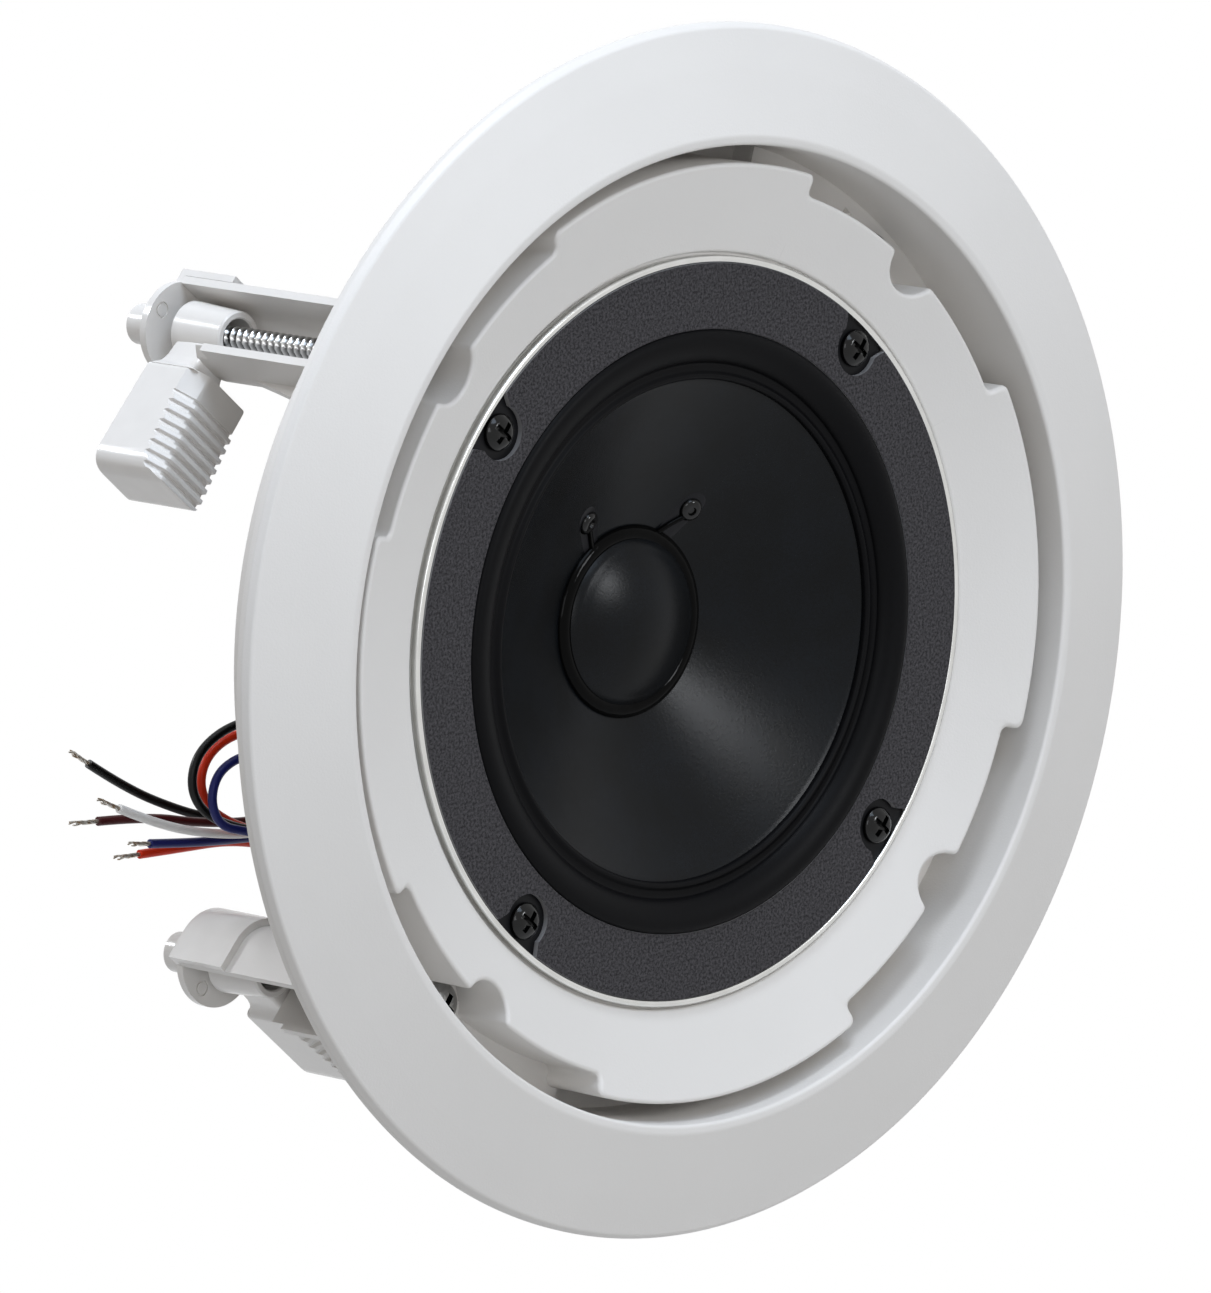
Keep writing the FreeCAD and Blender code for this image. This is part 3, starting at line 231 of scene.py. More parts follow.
def add_turned(shape, other, angle=0.0):
    """Joins a copy of another bmesh to a shape, turned about the axis as seen from the front."""
    spare = bpy.data.meshes.new("spare")
    other.to_mesh(spare)
    spare.transform(Matrix.Rotation(-math.radians(angle), 4, "Y"))
    shape.from_mesh(spare)
    bpy.data.meshes.remove(spare)
    return shape


def finished(shape, name, sharp=35, flat_faces=False):
    """Mesh with outward normals, shaded smooth up to an angle in degrees; large faces can stay flat."""
    bmesh.ops.recalc_face_normals(shape, faces=shape.faces)
    mesh = bpy.data.meshes.new(name)
    shape.to_mesh(mesh)
    shape.free()
    mesh.shade_smooth()
    mesh.set_sharp_from_angle(angle=math.radians(sharp))
    if flat_faces:
        work = bpy.data.objects.new("work", mesh)
        scene.collection.objects.link(work)
        level = work.modifiers.new("level", "WEIGHTED_NORMAL")
        level.keep_sharp = True
        bpy.context.view_layer.update()
        mesh = bpy.data.meshes.new_from_object(work.evaluated_get(bpy.context.evaluated_depsgraph_get()))
        bpy.data.objects.remove(work)
    return mesh


def place(name, data, body, material, slot, *stands_for):
    """Puts a mesh or curve on a body, in one material, in place of CAD nodes; with no body it is left
    unattached.
    """
    piece = bpy.data.objects.new(name, data)
    scene.collection.objects.link(piece)
    data.materials.clear()
    data.materials.append(material)
    if body:
        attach(piece, body)
    if stands_for:
        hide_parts(*stands_for)
    return piece


# Tinned copper: drawn wire, dull silver with warm patches of about 0.7 mm where the copper shows through.
tinned_copper, tree, spot = new_finish("tinned_copper_strands")
patches = add_node(tree, "TexNoise", {"Vector": spot, "Scale": 1.4 / MM})
tint = add_node(tree, "ValToRGB", {"Fac": patches}, ((0.35, "#8F7A62"), (0.55, "#C9C6C0")))
metal = add_node(tree, "BsdfPrincipled", {"Base Color": tint, "Metallic": 1.0, "Roughness": 0.34})
add_node(tree, "OutputMaterial", {"Surface": metal})

for colour, route in LEAD_ROUTES.items():
    # PVC insulation: extruded, smooth and slightly glossy, with faint long waves in its gloss.
    pvc, tree, spot = new_finish("pvc_insulation_" + colour)
    waves = add_node(tree, "TexNoise", {"Vector": spot, "Scale": 1 / (4 * MM)})
    gloss = add_node(tree, "MapRange", {"Value": waves, "To Min": 0.28, "To Max": 0.46})
    skin = add_node(tree, "BsdfPrincipled", {"Base Color": linear(LEAD_COLOURS[colour]), "Roughness": gloss,
                                             "IOR": 1.53, "Specular IOR Level": 0.2})
    add_node(tree, "OutputMaterial", {"Surface": skin})
    curve = bpy.data.curves.new("lead_" + colour + "_insulation", "CURVE")
    curve.dimensions = "3D"
    curve.bevel_depth = LEAD_D / 2 * MM
    curve.bevel_resolution = 5
    curve.use_fill_caps = True
    curve.resolution_u = 8
    line = curve.splines.new("NURBS")
    line.points.add(len(route) - 1)
    for point, stop in zip(line.points, route):
        point.co = (*(c * MM for c in stop), 1.0)
    line.order_u = 3
    line.use_endpoint_u = True
    lead = place("lead_" + colour + "_insulation", curve, "frame", pvc, "insulation_" + colour,
                 "lead_" + colour)

    end = Vector(route[-1])
    ahead = (end - Vector(route[-2])).normalized()
    across = ahead.cross(Vector((0, 1, 0))).normalized()
    over = ahead.cross(across)
    strands = bmesh.new()
    for strand in range(STRANDS):
        reach = TIP_LENGTHS[colour] * (1 - UNEVEN * (strand * 3 % 5))
        path = []
        for share in (step / 12 for step in range(13)):
            spread = 0.0 if strand == STRANDS - 1 else LAY_R + SPLAY * share ** 3
            twist = math.tau * (strand / (STRANDS - 1) + TWIST * share)
            path.append((end + ahead * (reach * share - TUCK * (1 - share))
                         + spread * (math.cos(twist) * across + math.sin(twist) * over)) * MM)
        add_turned(strands, tube(path, STRAND_D / 2 * MM))
    tip = place("lead_" + colour + "_strands", finished(strands, "strands"), "frame", tinned_copper,
                "tinned_strands", "lead_tip_" + colour)

# Bezel
# One white ABS moulding: a shallow conical flange, the grille groove, a notched dish for the driver,
# a short skirt through the ceiling and four channel towers. Fine spark texture on its front.
CLAMPS = {"upper_right": 45.0, "upper_left": 135.0, "lower_left": 225.0, "lower_right": 315.0}
CLAMP_R = 72.6
FLANGE_R, MOUTH_R, MOUTH_Y, SKIRT_R, SKIRT_END = 97.0, 78.0, -7.0, 80.4, 19.0
DISH_R, DISH_Y, DISH_WALL, DISH_DEPTH, EDGE_ROUND = 75.0, -4.5, 2.2, 2.6, 0.8
HOLE_R, HOLE_LIP, LEDGE_R, SEAT_Y, DISH_MID_R = 60.5, 0.45, 51.5, 1.0, 65.0
NOTCH_R, NOTCH_HALF, NOTCH_ROUND, SCALLOP_R, CUSP_ROUND = 71.6, 22.4, 1.6, 5.2, 0.9
GROOVE_IN, GROOVE_OUT, GROOVE_FLOOR, FLOOR_BACK = 69.6, 78.6, 8.2, 10.2
TROUGH_HALF, TROUGH_END, TROUGH_FLOOR = 20.5, 1.5, 12.6
SCREW_HOLE_R, CLIP_HOLE = 2.0, (73.8, 75.6, 7.5, 9.3)
TOWER_R, CHANNEL_R, TOWER_END, TOWER_EDGE, STOP_EDGE = 7.0, 5.6, 59.0, 7.0, 5.0
WINDOW_Y, SWING_R, SWING_Y = 46.6, 8.3, 43.9
WEB, WEB_START, WEB_IN, WEB_OUT, WEB_REACH = 1.6, 14.0, 5.7, 12.0, 26.0
HIDDEN, SEAM = 0.4, 0.03      # how far walls reach into each other, and how far apart level faces stay
CUT, JOIN, KEEP = "DIFFERENCE", "UNION", "INTERSECT"


def bend(start, corner, end, steps=6):
    """Points of a smooth turn from start to end that leans on a corner."""
    return [(1 - t) ** 2 * start + 2 * t * (1 - t) * corner + t * t * end
            for t in (k / steps for k in range(steps + 1))]


def rounded(corners, steps=5):
    """Points of a closed outline from (x, y, radius) corners."""
    points = []
    for i, (x, y, radius) in enumerate(corners):
        if radius == 0:
            points.append((x, y))
            continue
        here = Vector((x, y))
        back = Vector(corners[i - 1][:2]) - here
        on = Vector(corners[(i + 1) % len(corners)][:2]) - here
        reach = min(radius / math.tan(back.angle(on) / 2), 0.48 * min(back.length, on.length))
        turn = bend(here + back.normalized() * reach, here, here + on.normalized() * reach, steps)
        points += [tuple(point) for point in turn]
    return points


def box_outline(x0, x1, z0, z1, radius=0, steps=5):
    return rounded([(x0, z0, radius), (x1, z0, radius), (x1, z1, radius), (x0, z1, radius)], steps)


def round_outline(x, z, r, sides=64):
    return [(x + r * math.cos(t), z + r * math.sin(t)) for t in (math.tau * k / sides for k in range(sides))]


def sector_outline(r_in, r_out, half):
    """Part of a ring about the axis, centred on angle 0."""
    arc = [math.radians(half) * (k / 12 - 1) for k in range(25)]
    return [(r * math.cos(a), r * math.sin(a)) for r, order in ((r_out, 1), (r_in, -1)) for a in arc[::order]]


def prism(outline, y0, y1):
    """New bmesh: straight prism along Y over an (x, z) outline in mm."""
    shape = bmesh.new()
    low, high = [[shape.verts.new((x * MM, y * MM, z * MM)) for x, z in outline] for y in (y0, y1)]
    shape.faces.new(low)
    shape.faces.new(high[::-1])
    for k in range(len(low)):
        n = (k + 1) % len(low)
        shape.faces.new((low[n], low[k], high[k], high[n]))
    bmesh.ops.recalc_face_normals(shape, faces=shape.faces)
    return shape


def lathe(profile, sides=256, x=0.0, z=0.0, closed=True):
    """New bmesh: (radius, y) points in mm turned about an axis along Y; radius 0 is a pole."""
    turns = [math.tau * k / sides for k in range(sides)]
    shape = bmesh.new()
    loft(shape, [[Vector((x + r * math.cos(t), y, z + r * math.sin(t))) * MM
                  for t in (turns if r > 1e-6 else [0])] for r, y in profile], closed)
    bmesh.ops.recalc_face_normals(shape, faces=shape.faces)
    return shape


def work_object(shape):
    """Temporary object that the cutting tools need."""
    mesh = bpy.data.meshes.new("work")
    shape.to_mesh(mesh)
    shape.free()
    made = bpy.data.objects.new("work", mesh)
    scene.collection.objects.link(made)
    return made


def worked(base, tools=(), bevel=0.0, angle=40):
    """New bmesh: base cut by, joined to or kept within each (operation, bmesh) tool, and its edges eased."""
    body = work_object(base)
    helpers = []
    for operation, tool in tools:
        helper = work_object(tool)
        cut = body.modifiers.new("cut", "BOOLEAN")
        cut.operation, cut.object, cut.solver = operation, helper, "EXACT"
        helpers.append(helper)
    if bevel:
        ease = body.modifiers.new("ease", "BEVEL")
        ease.width, ease.segments = bevel * MM, 2
        ease.limit_method, ease.angle_limit = "ANGLE", math.radians(angle)
    bpy.context.view_layer.update()
    mesh = bpy.data.meshes.new_from_object(body.evaluated_get(bpy.context.evaluated_depsgraph_get()))
    result = bmesh.new()
    result.from_mesh(mesh)
    bmesh.ops.dissolve_degenerate(result, dist=0.002 * MM, edges=result.edges)
    for spare in helpers + [body]:
        bpy.data.objects.remove(spare)
    return result


def at_clamps(outline, y0, y1):
    """Cutting tools: the same prism at each clamp."""
    return [(CUT, add_turned(bmesh.new(), prism(outline, y0, y1), angle)) for angle in CLAMPS.values()]


def dish_outline(inset):
    """Notched edge of the dish, (x, z) in mm, moved inwards; always the same number of points."""
    big, small, scoop = DISH_R - inset, NOTCH_R - inset, SCALLOP_R + inset
    half = math.radians(NOTCH_HALF) + inset / NOTCH_R
    lip = math.acos((small ** 2 + CLAMP_R ** 2 - scoop ** 2) / (2 * small * CLAMP_R))

    def on(r, a):
        return Vector((r * math.cos(a), r * math.sin(a)))

    def arc(r, a0, a1, steps):
        return [on(r, a0 + (a1 - a0) * k / steps) for k in range(1, steps)]

    screw, cusp = Vector((CLAMP_R, 0)), on(small, lip)
    inside = math.atan2(cusp.y, cusp.x - CLAMP_R) + CUSP_ROUND / scoop
    side = [screw + on(scoop, math.pi + (inside - math.pi) * k / 14) for k in range(14)]
    side += bend(screw + on(scoop, inside), cusp, on(small, lip + CUSP_ROUND / small))
    side += arc(small, lip + CUSP_ROUND / small, half - NOTCH_ROUND / small, 16)
    side += bend(on(small, half - NOTCH_ROUND / small), on(small, half), on(small + NOTCH_ROUND, half))
    side += bend(on(big - NOTCH_ROUND, half), on(big, half), on(big, half + NOTCH_ROUND / big))
    side += arc(big, half + NOTCH_ROUND / big, math.pi / 4, 24)
    quarter = [Vector((p.x, -p.y)) for p in side[:0:-1]] + side
    points = []
    for a in map(math.radians, CLAMPS.values()):
        points += [(p.x * math.cos(a) - p.y * math.sin(a), p.x * math.sin(a) + p.y * math.cos(a))
                   for p in quarter]
        points.append(tuple(on(big, a + math.pi / 4)))
    return points


def dish_front(r):
    """Y of the dish's conical front."""
    return (DISH_R - r) / (DISH_R - HOLE_R) * -DISH_Y + DISH_Y


def dish_ring(inset, height):
    return [Vector((x, height(math.hypot(x, z)), z)) * MM for x, z in dish_outline(inset)]


def seat_ring(r, y):
    """Circle with its points in line with the dish's edge."""
    return [Vector((x / math.hypot(x, z) * r, y, z / math.hypot(x, z) * r)) * MM for x, z in dish_outline(0)]


rings = [seat_ring(r, y) for r, y in ((LEDGE_R, SEAT_Y + DISH_WALL), (LEDGE_R, SEAT_Y), (HOLE_R, SEAT_Y),
                                      (HOLE_R, 0.35), (HOLE_R + 0.12, 0.1),
                                      (HOLE_R + HOLE_LIP, dish_front(HOLE_R + HOLE_LIP)),
                                      (DISH_MID_R, dish_front(DISH_MID_R)))]
for turn in (math.pi / 8 * k for k in range(5)):
    drop = EDGE_ROUND * (1 - math.cos(turn))
    rings.append(dish_ring(EDGE_ROUND * (1 - math.sin(turn)), lambda r: dish_front(r) + drop))
rings += [dish_ring(0, lambda r: FLOOR_BACK - HIDDEN), dish_ring(DISH_WALL, lambda r: FLOOR_BACK - HIDDEN),
          dish_ring(DISH_WALL, lambda r: dish_front(r) + DISH_DEPTH),
          seat_ring(HOLE_R + DISH_WALL, SEAT_Y + DISH_WALL)]
bezel = bmesh.new()
loft(bezel, rings)

shell = lathe(rounded([(MOUTH_R, MOUTH_Y + 0.1, 0.7), (79.5, MOUTH_Y - 0.02, 2.0), (90.0, -4.25, 4.0),
                       (96.3, -2.45, 0.9), (FLANGE_R, -1.2, 0.8), (FLANGE_R, 0.0, 0.3), (93.0, 0.0, 0.3),
                       (93.0, -0.8, 0.2), (82.6, -3.55, 0.4), (SKIRT_R, 0.0, 0.4), (SKIRT_R, SKIRT_END, 0.4),
                       (MOUTH_R, SKIRT_END, 0.4)]), 360)
add_turned(bezel, worked(shell, at_clamps(box_outline(CLAMP_R, SKIRT_R + 3, -CHANNEL_R, CHANNEL_R),
                                          FLOOR_BACK + 2 * SEAM, SKIRT_END + 3)))


def channel_outline(r, free_edge, stop_edge):
    """U section of a clamp tower about its screw: round inside, open to the outside."""
    arc = [(CLAMP_R + r * math.cos(t), r * math.sin(t))
           for t in (math.pi / 2 + math.pi * k / 40 for k in range(41))]
    return arc + [(CLAMP_R + stop_edge, -r), (CLAMP_R + stop_edge, -r / 3), (CLAMP_R + free_edge, r / 3),
                  (CLAMP_R + free_edge, r)]


swing_room = [(CLAMP_R + SWING_R * math.cos(t), SWING_R * math.sin(t))
              for t in (math.radians(70 - 50 * k / 12) for k in range(13))]
swing_room += [(CLAMP_R + TOWER_EDGE + 1, 3.0), (CLAMP_R + TOWER_EDGE + 1, 8.0), (CLAMP_R + 3.0, 8.0)]
channel = prism(channel_outline(CHANNEL_R, TOWER_EDGE + 2, STOP_EDGE + 2), FLOOR_BACK + SEAM, TOWER_END + 1)
window = prism(box_outline(CLAMP_R - 5.5, CLAMP_R + 9, 0, 9), WINDOW_Y, TOWER_END + 1)
tower = worked(prism(channel_outline(TOWER_R, TOWER_EDGE, STOP_EDGE), GROOVE_FLOOR + HIDDEN, TOWER_END),
               [(CUT, channel), (CUT, window), (CUT, prism(swing_room, SWING_Y, WINDOW_Y + 1))], 0.25)
gusset = bmesh.new()
for side in (-1, 1):
    web = [(WEB_START, WEB_IN), (WEB_START, WEB_OUT)]
    web += [(SKIRT_END + WEB_REACH * t, WEB_OUT - (WEB_OUT - WEB_IN) * t ** 0.62)
            for t in (k / 12 for k in range(13))]
    add_turned(gusset, capped([[Vector((x, y, side * z)) * MM for y, z in web]
                               for x in (CLAMP_R, CLAMP_R - WEB)]))
groove_floor = worked(prism(sector_outline(GROOVE_IN, GROOVE_OUT, 45 - TROUGH_HALF),
                            GROOVE_FLOOR, FLOOR_BACK),
                      [(CUT, prism(round_outline(CLAMP_R, 0, SCREW_HOLE_R), 0, 20)),
                       (CUT, prism(box_outline(*CLIP_HOLE), 0, 20))])
trough_room = prism(sector_outline(DISH_R + SEAM, MOUTH_R - SEAM, TROUGH_HALF - SEAM), 0, TROUGH_FLOOR)
trough = worked(prism(sector_outline(DISH_R - DISH_WALL + SEAM, GROOVE_OUT, TROUGH_HALF + TROUGH_END),
                      GROOVE_FLOOR + HIDDEN, SKIRT_END - 3 * SEAM), [(CUT, trough_room)])
for angle in CLAMPS.values():
    for part in (tower, gusset, groove_floor):
        add_turned(bezel, part, angle)
    add_turned(bezel, trough, angle + 45)

# Moulded ABS: injection moulded against a finely eroded tool, so it is an even, plain white and nearly matt.
# The tool's grain is drawn about twice as coarse as the real one so that it shows.
GRAIN = 0.35
moulded_abs, tree, spot = new_finish("moulded_white_abs")
grain = add_node(tree, "TexNoise", {"Vector": spot, "Scale": 1 / (GRAIN * MM), "Detail": 2.0})
cloud = add_node(tree, "TexNoise", {"Vector": spot, "Scale": 1 / (25 * MM)})
tint = add_node(tree, "Mix", {"Factor": cloud, 6: linear("#E3E0DC"), 7: linear("#E9E6E2")}, data_type="RGBA")
gloss = add_node(tree, "MapRange", {"Value": grain, "To Min": 0.40, "To Max": 0.58})
relief = add_node(tree, "Bump", {"Height": grain, "Strength": 0.5, "Distance": 0.05 * MM})
skin = add_node(tree, "BsdfPrincipled", {"Base Color": tint, "Roughness": gloss, "IOR": 1.53,
                                         "Normal": relief})
add_node(tree, "OutputMaterial", {"Surface": skin})
place("bezel_moulding", finished(bezel, "bezel_moulding", 32, True), "frame", moulded_abs, "white_plastic",
      "bezel")

# Clamp caps
# A separate glossy cap on the rear of each tower: a half hood round it, an end plate and a boss
# that takes the screw's tip. Its plate carries the ring left by an ejector pin.
HOOD_IN, HOOD_OUT, HOOD_START, PLATE_R, PLATE_BACK = 7.05, 8.25, 48.0, 7.7, 60.4
BOSS_R, BOSS_BACK, TIP_HOLE_R, TIP_HOLE_END = 3.3, 68.5, 2.0, 67.3
PIN_AT, PIN_R, PIN_IN, PIN_DEPTH = CLAMP_R + 5.5, 1.3, 0.95, 0.25
hollow = prism(channel_outline(HOOD_IN, STOP_EDGE + 2, STOP_EDGE + 2), HOOD_START - 1, TOWER_END)
open_side = prism(box_outline(CLAMP_R - 9, CLAMP_R + 9, 1.5, 9), HOOD_START - 1, PLATE_BACK + 1)
pin_mark = worked(prism(round_outline(PIN_AT, 0, PIN_R, 32), TOWER_END - 1, TOWER_END + PIN_DEPTH),
                  [(CUT, prism(round_outline(PIN_AT, 0, PIN_IN, 32), TOWER_END - 2, TOWER_END + 2))])
cap = worked(prism(channel_outline(HOOD_OUT, STOP_EDGE, STOP_EDGE), HOOD_START, PLATE_BACK),
             [(CUT, hollow), (CUT, open_side),
              (JOIN, prism(round_outline(CLAMP_R, 0, PLATE_R, 72), TOWER_END, PLATE_BACK)),
              (JOIN, prism(round_outline(CLAMP_R, 0, BOSS_R, 48), PLATE_BACK - 1, BOSS_BACK)),
              (CUT, prism(round_outline(CLAMP_R, 0, TIP_HOLE_R, 32), TOWER_END - 1, TIP_HOLE_END)),
              (CUT, pin_mark)], 0.3)

# Glossy ABS: the same plastic from a polished tool, with faint flow waves in the gloss.
glossy_abs, tree, spot = new_finish("glossy_white_abs")
flow = add_node(tree, "TexNoise", {"Vector": spot, "Scale": 1 / (4 * MM)})
gloss = add_node(tree, "MapRange", {"Value": flow, "To Min": 0.14, "To Max": 0.26})
relief = add_node(tree, "Bump", {"Height": flow, "Strength": 0.10, "Distance": 0.1 * MM})
tint = add_node(tree, "Mix", {"Factor": flow, 6: linear("#E6E3DF"), 7: linear("#EDEAE6")}, data_type="RGBA")
skin = add_node(tree, "BsdfPrincipled", {"Base Color": tint, "Roughness": gloss, "IOR": 1.53,
                                         "Normal": relief})
add_node(tree, "OutputMaterial", {"Surface": skin})
for corner, angle in CLAMPS.items():
    turned_cap = finished(add_turned(bmesh.new(), cap, angle), "cap", 35, True)
    place("clamp_cap_" + corner + "_hood", turned_cap, "frame", glossy_abs, "clamp_plastic",
          "clamp_cap_" + corner)

# Clamp screws
# Long zinc-plated screws with a coarse thread and a cross-recess pan head. The head sits in the
# notch's scallop and the tip turns in the cap's boss.
SCREW_R, SCREW_ROOT, PITCH, SCREW_TIP, RIDGE_SLOPE, CREST_FLAT = 1.95, 1.42, 1.5, 67.2, 3.2, 1.35
HEAD_R, HEAD_FRONT, HEAD_BACK, RECESS, RECESS_WIDTH, RECESS_DEPTH = 3.8, 5.75, 8.15, 4.4, 1.1, 1.3


def pan_head(x, z, r, front, back):
    """New bmesh: domed round head about its own axis."""
    high = back - front
    profile = rounded([(0, front, 0), (r * 0.66, front + high * 0.12, r * 0.9),
                       (r, front + high * 0.6, r * 0.4), (r, back, 0.15), (0, back, 0)], 8)
    return lathe(profile, 48, x, z, closed=False)


def cross(x, z, y, span, width, depth):
    """Cross recess tool, open towards -Y."""
    bars = [prism(box_outline(x - wide / 2, x + wide / 2, z - high / 2, z + high / 2), y - 1, y + depth)
            for wide, high in ((span, width), (width, span))]
    return worked(bars[0], [(JOIN, bars[1])])


def threaded(x, z, root, crest, pitch, y0, y1, sides=28, per_turn=8):
    """New bmesh: closed screw thread along +Y as one grid, whose radius follows the helix."""
    rings = []
    count = int((y1 - y0) / pitch * per_turn)
    for i in range(count + 1):
        y = y0 + (y1 - y0) * i / count
        fade = max(0.0, min(1.0, (y1 - y) / (2 * pitch), (y - y0 + 0.01) / pitch))
        ring = []
        for k in range(sides):
            t = math.tau * k / sides
            phase = (y / pitch + k / sides) % 1.0
            rise = max(0.0, 1.0 - abs(phase - 0.5) * RIDGE_SLOPE) * fade
            r = root + (crest - root) * min(1.0, rise * CREST_FLAT)
            ring.append(Vector((x + r * math.cos(t), y, z + r * math.sin(t))) * MM)
        rings.append(ring)
    shank = bmesh.new()
    loft(shank, [[Vector((x, y0, z)) * MM]] + rings + [[Vector((x, y1, z)) * MM]], closed=False)
    bmesh.ops.recalc_face_normals(shank, faces=shank.faces)
    return shank


screw = worked(pan_head(CLAMP_R, 0, HEAD_R, HEAD_FRONT, HEAD_BACK),
               [(CUT, cross(CLAMP_R, 0, HEAD_FRONT, RECESS, RECESS_WIDTH, RECESS_DEPTH))])
add_turned(screw, threaded(CLAMP_R, 0, SCREW_ROOT, SCREW_R, PITCH, HEAD_BACK - 0.2, SCREW_TIP))

# Zinc plate on a rolled thread, with painted shade: the colour darkens by pointiness into the thread's roots,
# where shade falls, and stays bright on the crests.
painted_shade_thread, tree, crests = new_finish("zinc_thread_painted_shade", "NewGeometry", "Pointiness")
# Painted shade: dark in the thread's roots, pale zinc on its crests.
tint = add_node(tree, "ValToRGB", {"Fac": crests}, ((0.46, "#2B2928"), (0.56, "#CFCFCE")))
metal = add_node(tree, "BsdfPrincipled", {"Base Color": tint, "Metallic": 1.0, "Roughness": 0.2})
add_node(tree, "OutputMaterial", {"Surface": metal})
for corner, angle in CLAMPS.items():
    turned_screw = finished(add_turned(bmesh.new(), screw, angle), "screw")
    place("clamp_screw_" + corner + "_thread", turned_screw, "screw_" + corner, painted_shade_thread, "zinc_steel",
          "clamp_screw_" + corner)

# Clamp arms
# Glossy ABS arms on the screws: a round hub, a short neck and a wedge-shaped paddle whose raked
# gripping face is ribbed. They rest folded sideways and swing out over the ceiling board.
HUB_FRONT, ARM_BACK = 45.6, 56.5
PADDLE_IN, PADDLE_OUT, PADDLE_ROOT, PADDLE_TIP = CLAMP_R - 7.7, CLAMP_R + 4.5, 8.6, 28.2
PADDLE_FRONT, RAKE, BEVEL = 44.5, 2.8, 3.0
RIDGES, RIDGE_START, RIDGE_DEPTH = 8, 13.0, 0.9
RIDGE_WAVE = ((0.0, 0.5), (0.05, 0.92), (0.10, 1.0), (0.40, 1.0), (0.45, 0.92), (0.50, 0.5), (0.55, 0.08),
              (0.60, 0.0), (0.90, 0.0), (0.95, 0.08))      # share of the pitch, share of the depth
# Stations of the neck: z, half width, front, back.
NECK = ((3.6, 3.0, 47.5, 55.4), (6.2, 3.1, 47.4, 55.5), (7.1, 3.3, 47.3, 55.6), (7.8, 3.6, 47.1, 55.8),
        (8.3, 4.0, 46.9, 56.1), (8.6, 4.3, 46.3, 56.3), (8.9, 4.4, 46.0, 56.4))

slope = RAKE / (PADDLE_TIP - PADDLE_ROOT)
ridge_pitch = (PADDLE_TIP - RIDGE_START) / RIDGES
ribbed_side = [(PADDLE_ROOT, PADDLE_FRONT)]
for ridge in range(RIDGES):
    for share, drop in RIDGE_WAVE:
        z = RIDGE_START + ridge * ridge_pitch + share * ridge_pitch
        ribbed_side.append((z, PADDLE_FRONT - slope * (z - PADDLE_ROOT) + RIDGE_DEPTH * drop))
ribbed_side.append((PADDLE_TIP, PADDLE_FRONT - RAKE + RIDGE_DEPTH * 0.6))
stations = ((PADDLE_IN - 1, 0.0), (PADDLE_OUT - BEVEL - 0.4, 0.0), (PADDLE_OUT - BEVEL + 0.4, 0.25),
            (PADDLE_OUT + 1, BEVEL + 1))
wedge = capped([[Vector((x, y + back, z)) * MM for z, y in ribbed_side]
                + [Vector((x, ARM_BACK, z)) * MM for z in (PADDLE_TIP, PADDLE_ROOT)] for x, back in stations])
plan = rounded([(PADDLE_IN, PADDLE_ROOT, 0.6), (PADDLE_OUT, PADDLE_ROOT, 1.0), (PADDLE_OUT, PADDLE_TIP, 3.8),
                (PADDLE_IN, PADDLE_TIP, 2.0)], 8)
arm = worked(wedge, [(KEEP, prism(plan, 30, 70))], 0.18, 50)
add_turned(arm, lathe(((2.0, HUB_FRONT + 6), (3.1, HUB_FRONT + 6), (3.1, HUB_FRONT + 0.3), (3.35, HUB_FRONT),
                       (4.1, HUB_FRONT), (4.35, HUB_FRONT + 0.3), (4.95, ARM_BACK - 0.4), (4.6, ARM_BACK),
                       (2.0, ARM_BACK)), 64, CLAMP_R))
add_turned(arm, capped([[Vector((x, y, z)) * MM
                         for x, y in box_outline(CLAMP_R - half, CLAMP_R + half, front, back, 0.9)]
                        for z, half, front, back in NECK]))
for corner, angle in CLAMPS.items():
    turned_arm = finished(add_turned(bmesh.new(), arm, angle), "arm", 28, True)
    place("clamp_arm_" + corner + "_paddle", turned_arm, "arm_" + corner, glossy_abs, "clamp_plastic",
          "clamp_arm_" + corner)

# Driver basket
# Pressed sheet steel with a thin black coat: a flange with a turned-up rim, a slanted side with four
# windows, the spider's ledge and a floor spot-welded to the motor. The rim's trimmed edge is bright.
RIM_R, RIM_TOP, RIM_IN = 60.0, -0.8, 58.9
OPENING_IN, OPENING_HALF, OPENING_FRONT, OPENING_BACK = 34.0, 33.0, 3.0, 15.0
basket = lathe(rounded([(59.9, SEAT_Y - 0.05, 0.1), (59.9, -0.5, 0.1), (59.1, -0.5, 0.1), (59.1, 0.0, 0.1),
                        (46.2, 0.0, 1.0), (40.2, 17.0, 0.6), (32.0, 17.0, 0.8), (32.0, 26.0, 0.6),
                        (17.0, 26.0, 0.2), (17.0, 27.0, 0.2), (33.0, 27.0, 0.8), (33.0, 18.0, 0.4),
                        (41.2, 18.0, 1.0), (47.2, SEAT_Y - 0.05, 0.6)]), 240)
opening = sector_outline(OPENING_IN, RIM_R, OPENING_HALF)
basket = worked(basket, at_clamps(opening, OPENING_FRONT, OPENING_BACK))
rim = lathe(rounded([(RIM_R, SEAT_Y - 0.1, 0.1), (RIM_R, RIM_TOP, 0.45), (RIM_IN, RIM_TOP, 0.35),
                     (RIM_IN, 0.02, 0.05)]), 240)


def ring_marks(tree, spot, spacing):
    """Tool marks in rings about the axis, as a pattern that changes only with the radius."""
    flat = add_node(tree, "VectorMath", {0: spot, 1: (1.0, 0.0, 1.0)}, operation="MULTIPLY")
    radius = add_node(tree, "VectorMath", {0: flat}, operation="LENGTH")
    return add_node(tree, "TexNoise", {"W": radius, "Scale": 1 / (spacing * MM)}, noise_dimensions="1D")


